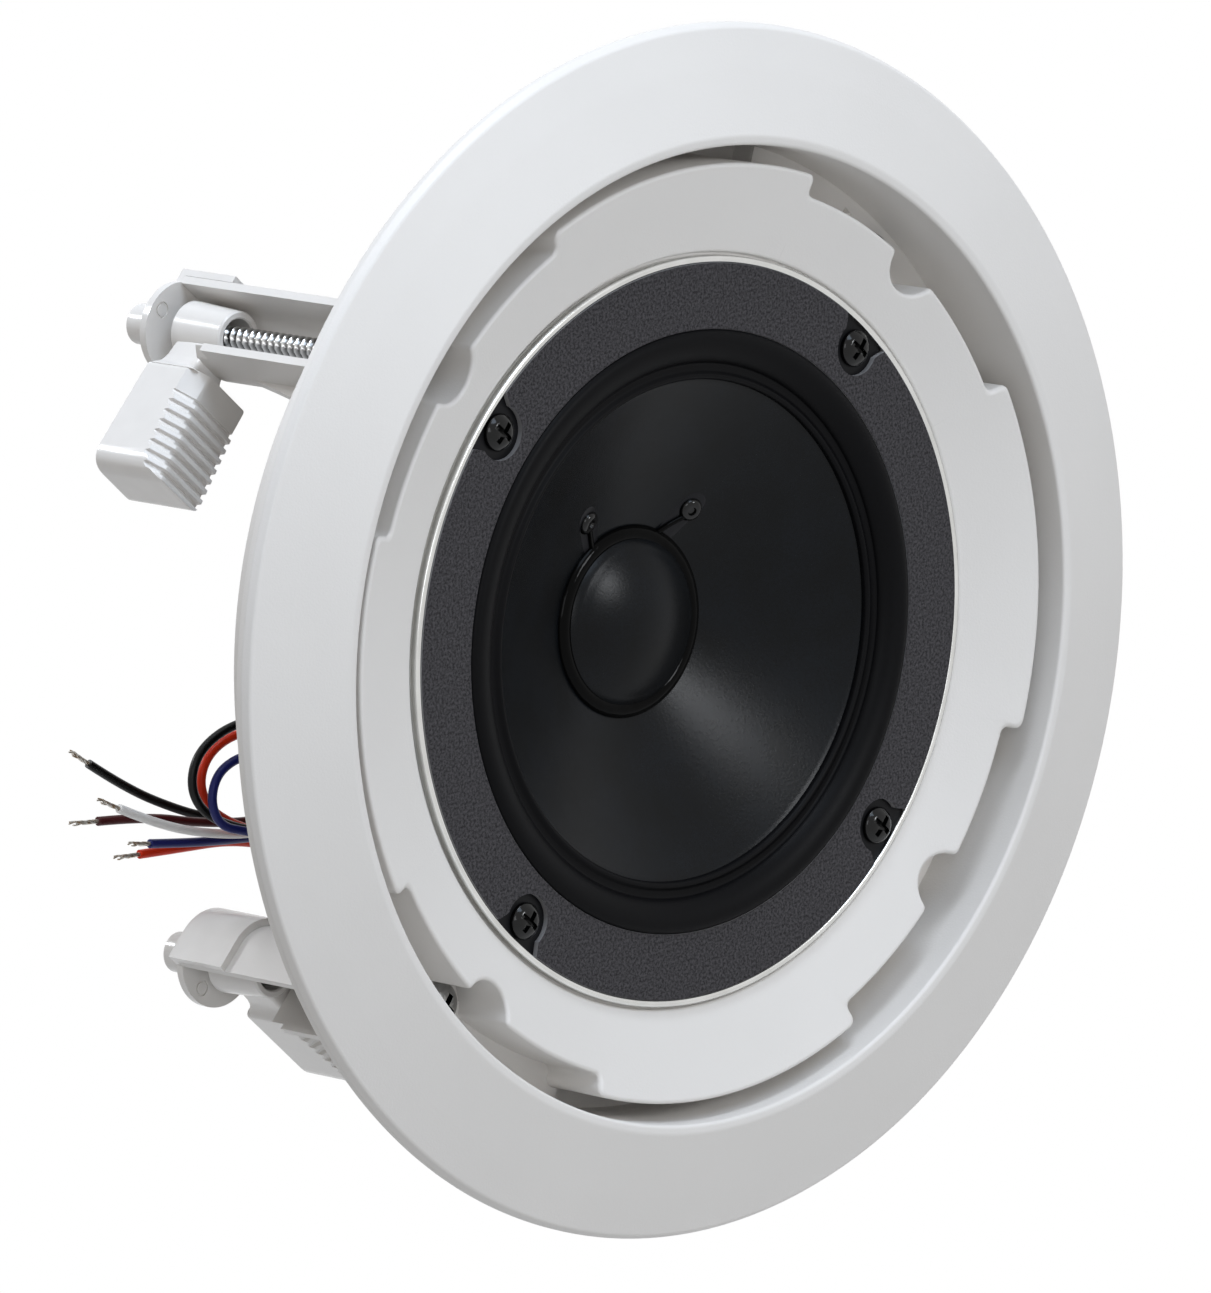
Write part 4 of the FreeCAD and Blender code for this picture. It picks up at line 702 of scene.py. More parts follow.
# Bright zinc on pressed steel: fine rings from the press tool round the axis, clear reflections.
bright_sheet, tree, spot = new_finish("bright_pressed_steel")
cloud = add_node(tree, "TexNoise", {"Vector": spot, "Scale": 1 / (6 * MM)})
gloss = add_node(tree, "MapRange", {"Value": ring_marks(tree, spot, 0.3), "To Min": 0.16, "To Max": 0.32})
tint = add_node(tree, "Mix", {"Factor": cloud, 6: linear("#BDBDBA"), 7: linear("#DADAD8")}, data_type="RGBA")
metal = add_node(tree, "BsdfPrincipled", {"Base Color": tint, "Metallic": 1.0, "Roughness": gloss})
add_node(tree, "OutputMaterial", {"Surface": metal})
place("basket_rim_edge", finished(rim, "rim"), "frame", bright_sheet, "bright_steel")

# Black dip coat on steel: thin, satin, with slight runs that show in its gloss.
black_coat, tree, spot = new_finish("black_dip_coated_steel")
drips = add_node(tree, "TexNoise", {"Vector": spot, "Scale": 1 / (5 * MM), "Detail": 3.0})
gloss = add_node(tree, "MapRange", {"Value": drips, "To Min": 0.30, "To Max": 0.50})
tint = add_node(tree, "Mix", {"Factor": drips, 6: linear("#0C0C0D"), 7: linear("#19191B")}, data_type="RGBA")
coat = add_node(tree, "BsdfPrincipled", {"Base Color": tint, "Roughness": gloss, "Specular IOR Level": 0.1})
add_node(tree, "OutputMaterial", {"Surface": coat})
place("basket_pressing", finished(basket, "basket"), "frame", black_coat, "bright_steel", "basket")

# Gasket
# Ring of grey fibre board glued over the surround's lip. It is notched round each driver screw.
SCREW_CIRCLE, KEYHOLE_R = 55.4, 4.4
gasket = lathe(rounded([(48.3, -0.9, 0.2), (58.85, -0.9, 0.2), (58.85, 0.0, 0), (50.7, 0.0, 0),
                        (50.7, -0.4, 0), (48.3, -0.4, 0)], 3), 240)
keyhole = [(SCREW_CIRCLE + KEYHOLE_R * math.cos(t), KEYHOLE_R * math.sin(t))
           for t in (math.radians(75 + 210 * k / 28) for k in range(29))]
keyhole += [(57.4, -4.7), (58.6, -5.4), (61.5, -6.2), (61.5, 6.2), (58.6, 5.4), (57.4, 4.7)]
gasket = worked(gasket, at_clamps(keyhole, -3, 0.0005))

# Fibre board: pressed paper and cork dust, dark grey, matt and finely speckled; its sideways-facing cut faces
# are painted paler, a painted highlight.
SPECK = 0.45
fibre_board, tree, spot = new_finish("grey_fibre_board")
specks = add_node(tree, "TexNoise", {"Vector": spot, "Scale": 1 / (SPECK * MM), "Detail": 3.0,
                                     "Roughness": 0.7})
tint = add_node(tree, "ValToRGB", {"Fac": specks}, ((0.36, "#292829"), (0.64, "#535153")))
# Painted highlight: faces that turn away from the Y axis, the cut edges, are mixed towards pale grey.
lean = add_node(tree, "SeparateXYZ", {0: spot.node.outputs["Normal"]})
facing = add_node(tree, "Math", {0: lean.outputs["Y"]}, operation="ABSOLUTE")
painted_edge_highlight = add_node(tree, "MapRange", {"Value": facing, "From Min": 0.75, "From Max": 0.35})
speckled_with_edge_highlight = add_node(tree, "Mix", {"Factor": painted_edge_highlight, 6: tint, 7: linear("#8C8B8C")}, data_type="RGBA")
relief = add_node(tree, "Bump", {"Height": specks, "Strength": 0.5, "Distance": 0.08 * MM})
board = add_node(tree, "BsdfPrincipled", {"Base Color": speckled_with_edge_highlight, "Roughness": 0.85, "Specular IOR Level": 0.1,
                                          "Normal": relief})
add_node(tree, "OutputMaterial", {"Surface": board})
place("gasket_ring", finished(gasket, "gasket", 35, True), "frame", fibre_board, "gasket_fibre", "gasket")

# Driver screws
# Black pan-head screws with a cross recess, through the basket's flange into the dish's ledge.
DRIVER_HEAD_R, DRIVER_HEAD, DRIVER_TIP = 3.0, 1.7, 7.0
DRIVER_RECESS, DRIVER_THREAD = (3.8, 0.9, 1.1), (1.1, 1.5, 1.1)      # span, width, depth; root, crest, pitch
driver_screw = worked(pan_head(SCREW_CIRCLE, 0, DRIVER_HEAD_R, -DRIVER_HEAD, 0.0),
                      [(CUT, cross(SCREW_CIRCLE, 0, -DRIVER_HEAD, *DRIVER_RECESS))], 0.08)
add_turned(driver_screw, threaded(SCREW_CIRCLE, 0, *DRIVER_THREAD, -0.1, DRIVER_TIP, 20))
screws = bmesh.new()
for angle in CLAMPS.values():
    add_turned(screws, driver_screw, angle)

# Black zinc: plated steel with a glossy, slightly oily black passivation.
black_zinc, tree, spot = new_finish("black_zinc_steel")
smear = add_node(tree, "TexNoise", {"Vector": spot, "Scale": 1 / (1.2 * MM)})
gloss = add_node(tree, "MapRange", {"Value": smear, "To Min": 0.05, "To Max": 0.14})
plate = add_node(tree, "BsdfPrincipled", {"Base Color": linear("#060606"), "Roughness": gloss, "IOR": 1.6,
                                          "Specular IOR Level": 0.2})
add_node(tree, "OutputMaterial", {"Surface": plate})
place("driver_screw_heads", finished(screws, "screws"), "frame", black_zinc, "black_steel", "driver_screws")

# Surround
# Moulded rubber half roll between the basket and the cone. Its lip is under the gasket, its land is
# glued on the cone's rim, and it bends as the cone moves.
ROLL_R, ROLL_HALF, ROLL_RISE, ROLL_FALL, RUBBER = 45.55, 2.75, 1.65, 1.5, 0.4
roll_turns = [math.pi * k / 24 for k in range(1, 24)]
profile = [(50.65, -RUBBER), (48.6, -RUBBER), (48.3, -0.45)]
profile += [(ROLL_R + ROLL_HALF * math.cos(t),
             -0.45 - ROLL_RISE * math.sin(t) + ROLL_FALL * (1 - math.cos(t)) / 2) for t in roll_turns]
profile += [(42.78, 0.98), (42.4, 1.08), (41.8, 1.1), (41.4, 0.98), (41.1, 0.62), (40.75, 0.5), (40.4, 0.62),
            (40.15, 0.98), (40.1, 1.55), (40.6, 1.38), (43.2, 1.38)]
profile += [(ROLL_R - (ROLL_HALF - RUBBER) * math.cos(t),
             -0.03 - ROLL_RISE * math.sin(t) + ROLL_FALL * 0.9 * (1 + math.cos(t)) / 2) for t in roll_turns]
profile += [(48.0, -0.01), (50.65, -0.01)]

# Butyl rubber: compression moulded, near black with a satin bloom.
butyl, tree, spot = new_finish("moulded_butyl_rubber")
bloom = add_node(tree, "TexNoise", {"Vector": spot, "Scale": 1 / (0.6 * MM), "Detail": 3.0})
tint = add_node(tree, "Mix", {"Factor": bloom, 6: linear("#060607"), 7: linear("#0C0C0E")}, data_type="RGBA")
gloss = add_node(tree, "MapRange", {"Value": bloom, "To Min": 0.36, "To Max": 0.50})
rubber = add_node(tree, "BsdfPrincipled", {"Base Color": tint, "Roughness": gloss, "IOR": 1.5,
                                           "Specular IOR Level": 0.06})
add_node(tree, "OutputMaterial", {"Surface": rubber})
surround = place("surround_roll", finished(lathe(profile, 240), "surround", 60), None, butyl, "black_rubber",
                 "surround")
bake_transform(surround)

# Cone
# Pressed paper pulp with a thin coating. Its rim is glued under the surround's land, and its neck
# to the voice coil's former.
CONE_RIM, CONE_EDGE, CONE_Y, CONE_DEPTH, FORMER_R, BOW, PAPER = 43.2, 40.6, 1.4, 13.8, 12.6, 0.7, 0.5


def cone_front(r):
    """Y of the cone's slightly bowed front."""
    share = (CONE_EDGE - r) / (CONE_EDGE - FORMER_R)
    return CONE_Y + CONE_DEPTH * share + BOW * 4 * share * (1 - share)


radii = [CONE_EDGE - (CONE_EDGE - FORMER_R) * k / 24 for k in range(25)]
cone = lathe([(CONE_RIM, CONE_Y)] + [(r, cone_front(r)) for r in radii]
             + [(r, cone_front(r) + PAPER) for r in radii[::-1]] + [(CONE_RIM, CONE_Y + PAPER)], 240)

# Coated paper pulp: short matted fibres under a thin black coat, blue-grey with a soft sheen.
paper_pulp, tree, spot = new_finish("coated_paper_pulp")
fibres = add_node(tree, "TexNoise", {"Vector": spot, "Scale": 1 / (0.5 * MM), "Detail": 4.0,
                                     "Roughness": 0.65})
cloud = add_node(tree, "TexNoise", {"Vector": spot, "Scale": 1 / (9 * MM)})
both = add_node(tree, "Math", {0: fibres, 1: cloud}, operation="MULTIPLY")
tint = add_node(tree, "ValToRGB", {"Fac": both}, ((0.12, "#060708"), (0.42, "#0E1115")))
relief = add_node(tree, "Bump", {"Height": fibres, "Strength": 0.3, "Distance": 0.08 * MM})
pulp = add_node(tree, "BsdfPrincipled", {"Base Color": tint, "Roughness": 0.27, "IOR": 1.5,
                                         "Specular IOR Level": 0.12, "Normal": relief})
add_node(tree, "OutputMaterial", {"Surface": pulp})
place("cone_paper", finished(cone, "cone", 50), "cone_assembly", paper_pulp, "black_paper", "cone")

# Dust cap
# Pressed pulp cup over the pole, flared at its foot, with a glossy bead of glue all round.
CAP_R, CAP_FOOT, CAP_RISE, CAP_DOME, BEAD_R, BEAD = 12.4, 14.4, 1.9, 3.0, 14.1, 1.15
foot_y = cone_front(CAP_FOOT) - 0.05
top_y = foot_y - CAP_RISE
crown = [(CAP_R * k / 12, top_y - CAP_DOME * (1 - (k / 12) ** 2)) for k in range(12)]
cup = lathe(crown + [(12.2, top_y), (12.75, top_y + 0.2), (13.6, top_y + 1.1), (CAP_FOOT, foot_y),
                     (13.6, foot_y), (12.9, top_y + 1.2), (11.9, top_y + 0.5)]
            + [(r, y + PAPER) for r, y in crown[::-1]], 160, closed=False)
place("dust_cap_cup", finished(cup, "dust_cap", 60), "cone_assembly", paper_pulp, "black_paper", "dust_cap")
bead = lathe([(BEAD_R + BEAD * 1.3 * math.cos(t), cone_front(BEAD_R) - 0.25 + BEAD * math.sin(t))
              for t in (math.tau * k / 24 for k in range(24))], 160)

# Rubber cement: laid wet from a nozzle, cured glossy black.
rubber_cement, tree, spot = new_finish("black_rubber_cement")
ripple = add_node(tree, "TexNoise", {"Vector": spot, "Scale": 1 / (3 * MM)})
relief = add_node(tree, "Bump", {"Height": ripple, "Strength": 0.3, "Distance": 0.3 * MM})
gloss = add_node(tree, "MapRange", {"Value": ripple, "To Min": 0.04, "To Max": 0.12})
glue = add_node(tree, "BsdfPrincipled", {"Base Color": linear("#040404"), "Roughness": gloss, "IOR": 1.5,
                                         "Specular IOR Level": 0.05, "Normal": relief})
add_node(tree, "OutputMaterial", {"Surface": glue})
place("dust_cap_glue_bead", finished(bead, "bead", 80), "cone_assembly", rubber_cement, "black_paper")

# Lead eyelets
# Two small black eyelets through the cone, where the flexible leads to the voice coil are soldered
# and covered with glue.
EYELET_R, EYELETS = 20.6, (52.0, 118.5)
cone_lean = math.atan2(CONE_DEPTH, CONE_EDGE - FORMER_R)
button = lathe(((0, 0.15), (2.0, 0.15), (2.0, -0.25), (1.75, -0.65), (1.3, -0.85), (0.75, -0.8), (0.55, -0.4),
                (0, -0.35)), 32, closed=False)
bmesh.ops.transform(button, verts=button.verts,
                    matrix=Matrix.Translation(Vector((EYELET_R, cone_front(EYELET_R), 0)) * MM)
                    @ Matrix.Rotation(-cone_lean, 4, "Z"))
eyelets = bmesh.new()
for angle in EYELETS:
    add_turned(eyelets, button, angle)
place("lead_eyelet_buttons", finished(eyelets, "eyelets", 50), "cone_assembly", black_zinc, "black_steel",
      "lead_eyelets")

# Lead runs
# From each eyelet a short lead lies on the cone to the dust cap's foot, under a smear of clear-drying
# cement that is brushed on round both.
RUN_R, RUN_START, RUN_END, RUN_LEANS = 0.45, EYELET_R - 1.2, 15.2, (9.0, 0.0)
SMEAR, SMEAR_HALF, SMEAR_START, SMEAR_END, SMEAR_BACK = 0.16, 2.3, EYELET_R + 3.0, 15.0, 0.3


def on_cone(r, a, lift):
    """Point in metres at a height above the cone's front."""
    return Vector((r * math.cos(a), cone_front(r) - lift, r * math.sin(a))) * MM


runs, smears = bmesh.new(), bmesh.new()
for angle, lean in zip(EYELETS, RUN_LEANS):
    track = [on_cone(RUN_START + (RUN_END - RUN_START) * share, math.radians(angle + lean * share),
                     RUN_R * 0.6) for share in (step / 12 for step in range(13))]
    add_turned(runs, tube(track, RUN_R * MM, 10))
    rows = []
    for share in (step / 16 for step in range(17)):
        r = SMEAR_START + (SMEAR_END - SMEAR_START) * share
        half = SMEAR_HALF * (1.0 - 0.30 * max(0.0, share - 0.4))
        if share < 0.25:
            half *= math.sqrt(max(0.02, 1 - (1 - 4 * share) ** 2))
        row = []
        for across in (k / 4 - 1 for k in range(9)):
            a = math.radians(angle + lean * 0.4 * share) + across * half / r
            height = SMEAR * (1 - across ** 4) * min(1.0, share * 10 + 0.02)
            row.append(on_cone(r, a, height - 0.04))
        rows.append(row + [point + Vector((0, SMEAR_BACK, 0)) * MM for point in row[::-1]])
    ends = [[sum(row, Vector()) / len(row)] for row in (rows[0], rows[-1])]
    loft(smears, [ends[0]] + rows + [ends[1]], closed=False)
place("lead_run_wires", finished(runs, "runs", 60), "cone_assembly", rubber_cement, "black_paper")

# Brushed cement: a thin skin over the paper, a little paler and smoother than it.
cement_smear, tree, spot = new_finish("brushed_cement_smear")
strokes = add_node(tree, "TexNoise", {"Vector": spot, "Scale": 1 / (0.8 * MM)})
gloss = add_node(tree, "MapRange", {"Value": strokes, "To Min": 0.24, "To Max": 0.40})
skin = add_node(tree, "BsdfPrincipled", {"Base Color": linear("#17171A"), "Roughness": gloss,
                                         "Specular IOR Level": 0.12})
add_node(tree, "OutputMaterial", {"Surface": skin})
place("lead_run_cement", finished(smears, "smears", 60), "cone_assembly", cement_smear, "black_paper")

# Voice coil
# Aluminium foil former glued inside the cone's neck, with a close layer of enamelled copper wire that
# hangs in the magnet's gap.
FORMER_IN, COIL_OUT, WIRE, EASE = 12.45, 13.0, 0.2, 0.05


def band(node, r_in, r_out):
    """Turned tube as long as a CAD node."""
    low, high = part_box(node)
    return finished(lathe(box_outline(r_in, r_out, low[1] / MM, high[1] / MM, EASE, 3), 120), node, 40)


# Aluminium foil: rolled, with a fine grain round the tube.
foil, tree, spot = new_finish("rolled_aluminium_foil")
along = add_node(tree, "SeparateXYZ", {0: spot})
grain = add_node(tree, "TexNoise", {"W": along.outputs["Y"], "Scale": 1 / (0.25 * MM)}, noise_dimensions="1D")
gloss = add_node(tree, "MapRange", {"Value": grain, "To Min": 0.22, "To Max": 0.42})
metal = add_node(tree, "BsdfPrincipled", {"Base Color": linear("#C9CACB"), "Metallic": 1.0,
                                          "Roughness": gloss})
add_node(tree, "OutputMaterial", {"Surface": metal})
place("coil_former_tube", band("coil_former", FORMER_IN, FORMER_R), "cone_assembly", foil, "former_foil",
      "coil_former")

# Enamelled copper: round wire side by side, drawn as bands one wire wide.
enamelled_copper, tree, spot = new_finish("enamelled_copper_wire")
turns = add_node(tree, "TexWave", {"Vector": spot, "Scale": math.pi / (10 * WIRE * MM)},
                 bands_direction="Y").outputs["Fac"]
relief = add_node(tree, "Bump", {"Height": turns, "Strength": 0.6, "Distance": WIRE / 2 * MM})
tint = add_node(tree, "Mix", {"Factor": turns, 6: linear("#5A2A16"), 7: linear("#B4643A")}, data_type="RGBA")
metal = add_node(tree, "BsdfPrincipled", {"Base Color": tint, "Metallic": 1.0, "Roughness": 0.35,
                                          "Normal": relief})
add_node(tree, "OutputMaterial", {"Surface": metal})
place("voice_coil_turns", band("voice_coil", FORMER_R + 0.02, COIL_OUT), "cone_assembly", enamelled_copper,
      "copper_wire", "voice_coil")

# Spider
# Corrugated resin-treated cotton disc that centres the coil: its lip is glued to the basket's ledge and
# its inner edge to the former, so each gore of it bends as the cone moves.
SPIDER_OUT, SPIDER_LIP, SPIDER_BACK, CLOTH, WAVES, WAVE, GORES = 40.15, 32.0, 17.0, 0.4, 5, 0.8, 8
line = [(SPIDER_OUT, 0.0)] + [(SPIDER_LIP - (SPIDER_LIP - FORMER_R - 0.05) * k / 60,
                               WAVE * math.sin(math.pi * WAVES * k / 60)) for k in range(61)]
section = [(r, SPIDER_BACK - CLOTH - y) for r, y in line]
section += [(r, SPIDER_BACK - 0.02 - y) for r, y in line[::-1]]

# Treated cotton: plain weave stiffened with amber resin.
THREAD = 0.5
treated_cotton, tree, spot = new_finish("resin_treated_cotton")
warp, weft = [add_node(tree, "TexWave", {"Vector": spot, "Scale": math.pi / (10 * THREAD * MM)},
                       bands_direction=way).outputs["Fac"] for way in ("X", "Z")]
weave = add_node(tree, "Math", {0: warp, 1: weft}, operation="MULTIPLY")
tint = add_node(tree, "Mix", {"Factor": weave, 6: linear("#8A6A34"), 7: linear("#CDA45C")}, data_type="RGBA")
relief = add_node(tree, "Bump", {"Height": weave, "Strength": 0.5, "Distance": 0.1 * MM})
fabric = add_node(tree, "BsdfPrincipled", {"Base Color": tint, "Roughness": 0.8, "Normal": relief})
add_node(tree, "OutputMaterial", {"Surface": fabric})
for gore in range(GORES):
    middle = math.tau * gore / GORES
    fan = [middle + math.pi / GORES * (k / 8 - 1) for k in range(17)]
    cloth = capped([[Vector((r * math.cos(a), y, r * math.sin(a))) * MM for r, y in section] for a in fan])
    piece = place("spider_gore_%d" % (gore + 1), finished(cloth, "spider_gore", 50), None, treated_cotton,
                  "spider_cloth", "spider")
    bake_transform(piece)

# Magnet motor
# Plated steel top plate, pressed ferrite ring, and a yoke turned with its pole in one piece, glued in a
# stack behind the basket. The glue shows as a dark line at each joint.
TOP_PLATE_R, TOP_HOLE, PLATE_FRONT, PLATE_END, GLUE = 34.0, 13.4, 27.0, 32.0, 0.02
MAGNET_R, MAGNET_HOLE, MAGNET_END, POLE_R, YOKE_R, YOKE_END = 36.0, 18.0, 44.0, 12.0, 33.0, 48.5
STRAP_SCREW_X, YOKE_HOLE_R, YOKE_HOLE_FRONT = 22.2, 1.55, 46.0
top_plate = lathe(rounded([(TOP_HOLE, PLATE_FRONT + GLUE, 0.2), (TOP_PLATE_R, PLATE_FRONT + GLUE, 0.4),
                           (TOP_PLATE_R, PLATE_END - GLUE, 0.4), (TOP_HOLE, PLATE_END - GLUE, 0.2)]), 160)
magnet = lathe(rounded([(MAGNET_HOLE, PLATE_END, 0.6), (MAGNET_R, PLATE_END, 1.1),
                        (MAGNET_R, MAGNET_END, 1.1), (MAGNET_HOLE, MAGNET_END, 0.6)]), 160)
yoke = lathe(rounded([(0, PLATE_FRONT, 0), (POLE_R, PLATE_FRONT, 0.8), (POLE_R, MAGNET_END + GLUE, 0.4),
                      (YOKE_R, MAGNET_END + GLUE, 0.5), (YOKE_R, YOKE_END, 0.9), (0, YOKE_END, 0)]), 160,
             closed=False)
yoke = worked(yoke, [(CUT, prism(round_outline(x, 0, YOKE_HOLE_R, 24), YOKE_HOLE_FRONT, YOKE_END + 1.5))
                     for x in (-STRAP_SCREW_X, STRAP_SCREW_X)])

# Zinc-plated mild steel: turned, with fine tool rings, pale and slightly yellow.
turned_steel, tree, spot = new_finish("zinc_plated_turned_steel")
tool_rings = ring_marks(tree, spot, 0.4)
cloud = add_node(tree, "TexNoise", {"Vector": spot, "Scale": 1 / (7 * MM)})
gloss = add_node(tree, "MapRange", {"Value": tool_rings, "To Min": 0.24, "To Max": 0.46})
tint = add_node(tree, "Mix", {"Factor": cloud, 6: linear("#A6A39A"), 7: linear("#C6C4BC")}, data_type="RGBA")
relief = add_node(tree, "Bump", {"Height": tool_rings, "Strength": 0.15, "Distance": 0.05 * MM})
metal = add_node(tree, "BsdfPrincipled", {"Base Color": tint, "Metallic": 1.0, "Roughness": gloss,
                                          "Normal": relief})
add_node(tree, "OutputMaterial", {"Surface": metal})
place("top_plate_ring", finished(top_plate, "top_plate"), "frame", turned_steel, "plated_steel", "top_plate")
place("yoke_turning", finished(yoke, "yoke"), "frame", turned_steel, "plated_steel", "yoke")

# Hard ferrite: pressed and sintered powder, ground flat, charcoal grey with small pits.
sintered_ferrite, tree, spot = new_finish("sintered_ferrite")
pits = add_node(tree, "TexNoise", {"Vector": spot, "Scale": 1 / (0.5 * MM), "Detail": 5.0, "Roughness": 0.7})
tint = add_node(tree, "Mix", {"Factor": pits, 6: linear("#1D1D1F"), 7: linear("#3A3A3C")}, data_type="RGBA")
relief = add_node(tree, "Bump", {"Height": pits, "Strength": 0.4, "Distance": 0.08 * MM})
stone = add_node(tree, "BsdfPrincipled", {"Base Color": tint, "Roughness": 0.6, "Specular IOR Level": 0.35,
                                          "Normal": relief})
add_node(tree, "OutputMaterial", {"Surface": stone})
place("magnet_ring", finished(magnet, "magnet"), "frame", sintered_ferrite, "ferrite", "magnet")

# Terminal strip
# A slip of brown paper laminate riveted to the basket's ledge, with two tinned brass solder lugs.
STRIP_HALF, STRIP_Z, STRIP_Y, STRIP = 8.0, (34.4, 44.4), 18.0, 1.2
LUG_X, LUG_HALF, LUG_Z, LUG, EYE_R = 4.5, 1.5, (39.9, 48.9), 0.5, 0.8
RIVET_Z, RIVET_R, RIVET_HIGH, RIVET_SHANK_R, RIVET_FRONT = 37.73, 1.9, 0.6, 1.0, 17.0
STRIP_TOP = STRIP_Y + STRIP
strip_outline = box_outline(-STRIP_HALF, STRIP_HALF, *STRIP_Z, 0.8)
strip = worked(prism(strip_outline, STRIP_Y + GLUE, STRIP_TOP), [], 0.12)

# Paper laminate: phenolic resin board, brown, with fibres that show along its length.
laminate, tree, spot = new_finish("phenolic_paper_laminate")
along = add_node(tree, "VectorMath", {0: spot, 1: (0.25, 1.0, 1.0)}, operation="MULTIPLY")
fibre = add_node(tree, "TexNoise", {"Vector": along, "Scale": 1 / (0.35 * MM), "Detail": 3.0})
tint = add_node(tree, "Mix", {"Factor": fibre, 6: linear("#5E3418"), 7: linear("#8C5628")}, data_type="RGBA")
resin = add_node(tree, "BsdfPrincipled", {"Base Color": tint, "Roughness": 0.38})
add_node(tree, "OutputMaterial", {"Surface": resin})
place("terminal_strip_board", finished(strip, "strip", 35, True), "frame", laminate, "strip_board",
      "terminal_strip")

lugs = bmesh.new()
for x in (-LUG_X, LUG_X):
    tag = prism(rounded([(x - LUG_HALF, LUG_Z[0], 0.4), (x + LUG_HALF, LUG_Z[0], 0.4),
                         (x + LUG_HALF, LUG_Z[1], 1.3), (x - LUG_HALF, LUG_Z[1], 1.3)]),
                STRIP_TOP + GLUE, STRIP_TOP + LUG)
    eye = prism(round_outline(x, LUG_Z[1] - LUG_HALF, EYE_R, 24), STRIP_Y, STRIP_Y + 4)
    add_turned(lugs, worked(tag, [(CUT, eye)], 0.08))
place("solder_lug_tags", finished(lugs, "lugs", 35, True), "frame", tinned_copper, "tinned_brass",
      "solder_lugs")

# Zinc plate on rolled steel: bright, slightly blue, with soft cloudy passivation.
zinc_plate, tree, spot = new_finish("zinc_plated_steel")
cloud = add_node(tree, "TexNoise", {"Vector": spot, "Scale": 1 / (2 * MM)})
tint = add_node(tree, "Mix", {"Factor": cloud, 6: linear("#A9A9A8"), 7: linear("#D2D3D4")}, data_type="RGBA")
gloss = add_node(tree, "MapRange", {"Value": cloud, "To Min": 0.18, "To Max": 0.34})
metal = add_node(tree, "BsdfPrincipled", {"Base Color": tint, "Metallic": 1.0, "Roughness": gloss})
add_node(tree, "OutputMaterial", {"Surface": metal})
rivet = pan_head(0, RIVET_Z, RIVET_R, STRIP_TOP + RIVET_HIGH, STRIP_TOP)
add_turned(rivet, prism(round_outline(0, RIVET_Z, RIVET_SHANK_R, 24), RIVET_FRONT, STRIP_TOP + 0.2))
place("terminal_rivet_head", finished(rivet, "rivet"), "frame", zinc_plate, "plated_steel", "terminal_rivet")

# Line transformer
# Varnished steel laminations with a wound nylon bobbin on the middle limb, held to the back plate by a
# bent strap and two screws. The winding is wrapped in polyester tape.
CORE_HALF, CORE_FRONT, CORE_BACK, STACK_HALF, LIMB, WINDOW, SHEETS = 16.0, 48.5, 74.5, 7.0, 5.5, 5.5, 20
SHEET_GAP, SHEET_SHIFT = 0.03, 0.05


def stood(outline, z0, z1):
    """New bmesh: prism along Z over an (x, y) outline in mm."""
    made = prism([(x, -y) for x, y in outline], z0, z1)
    bmesh.ops.rotate(made, verts=made.verts, cent=(0, 0, 0), matrix=Matrix.Rotation(math.pi / 2, 3, "X"))
    return made


core = bmesh.new()
thickness = 2 * STACK_HALF / SHEETS
for number in range(SHEETS):
    z = -STACK_HALF + number * thickness
    shift = SHEET_SHIFT * math.sin(2.4 * number)
    lamination = stood(box_outline(-CORE_HALF + 0.06 + shift, CORE_HALF - 0.06 + shift, CORE_FRONT + GLUE,
                                   CORE_BACK - SHEET_GAP), z + SHEET_GAP, z + thickness - SHEET_GAP)
    windows = []
    for side in (-1, 1):
        near, far = sorted((side * (CORE_HALF - LIMB), side * (CORE_HALF - LIMB - WINDOW)))
        opening = box_outline(near, far, CORE_FRONT + LIMB, CORE_BACK - LIMB)
        windows.append((CUT, stood(opening, z - 1, z + 2)))
    add_turned(core, worked(lamination, windows))

# Varnished silicon steel: dark cut edges under a thin, cloudy brown varnish.
varnished_steel, tree, spot = new_finish("varnished_silicon_steel")
bloom = add_node(tree, "TexNoise", {"Vector": spot, "Scale": 1 / (3 * MM), "Detail": 4.0})
tint = add_node(tree, "ValToRGB", {"Fac": bloom}, ((0.35, "#3B3835"), (0.65, "#6B645C")))
metal = add_node(tree, "BsdfPrincipled", {"Base Color": tint, "Metallic": 0.7, "Roughness": 0.5})
add_node(tree, "OutputMaterial", {"Surface": metal})
place("transformer_core_laminations", finished(core, "core", 35, True), "frame", varnished_steel,
      "core_steel", "transformer_core")

BOBBIN_X, BOBBIN_Z, BOBBIN_FRONT, BOBBIN_BACK, BOBBIN_WALL = 10.3, 14.0, 54.2, 68.8, 0.8
TUBE_X, TUBE_Z = 6.0, 8.0
bobbin_tools = [(JOIN, prism(box_outline(-BOBBIN_X, BOBBIN_X, -BOBBIN_Z, BOBBIN_Z, 1.2), y, y + BOBBIN_WALL))
                for y in (BOBBIN_FRONT, BOBBIN_BACK - BOBBIN_WALL)]
bore_x, bore_z = TUBE_X - BOBBIN_WALL, TUBE_Z - BOBBIN_WALL
bore = prism(box_outline(-bore_x, bore_x, -bore_z, bore_z), BOBBIN_FRONT - 1, BOBBIN_BACK + 1)
bobbin_tools.append((CUT, bore))
bobbin = worked(prism(box_outline(-TUBE_X, TUBE_X, -TUBE_Z, TUBE_Z), BOBBIN_FRONT + 0.1, BOBBIN_BACK - 0.1),
                bobbin_tools, 0.12)

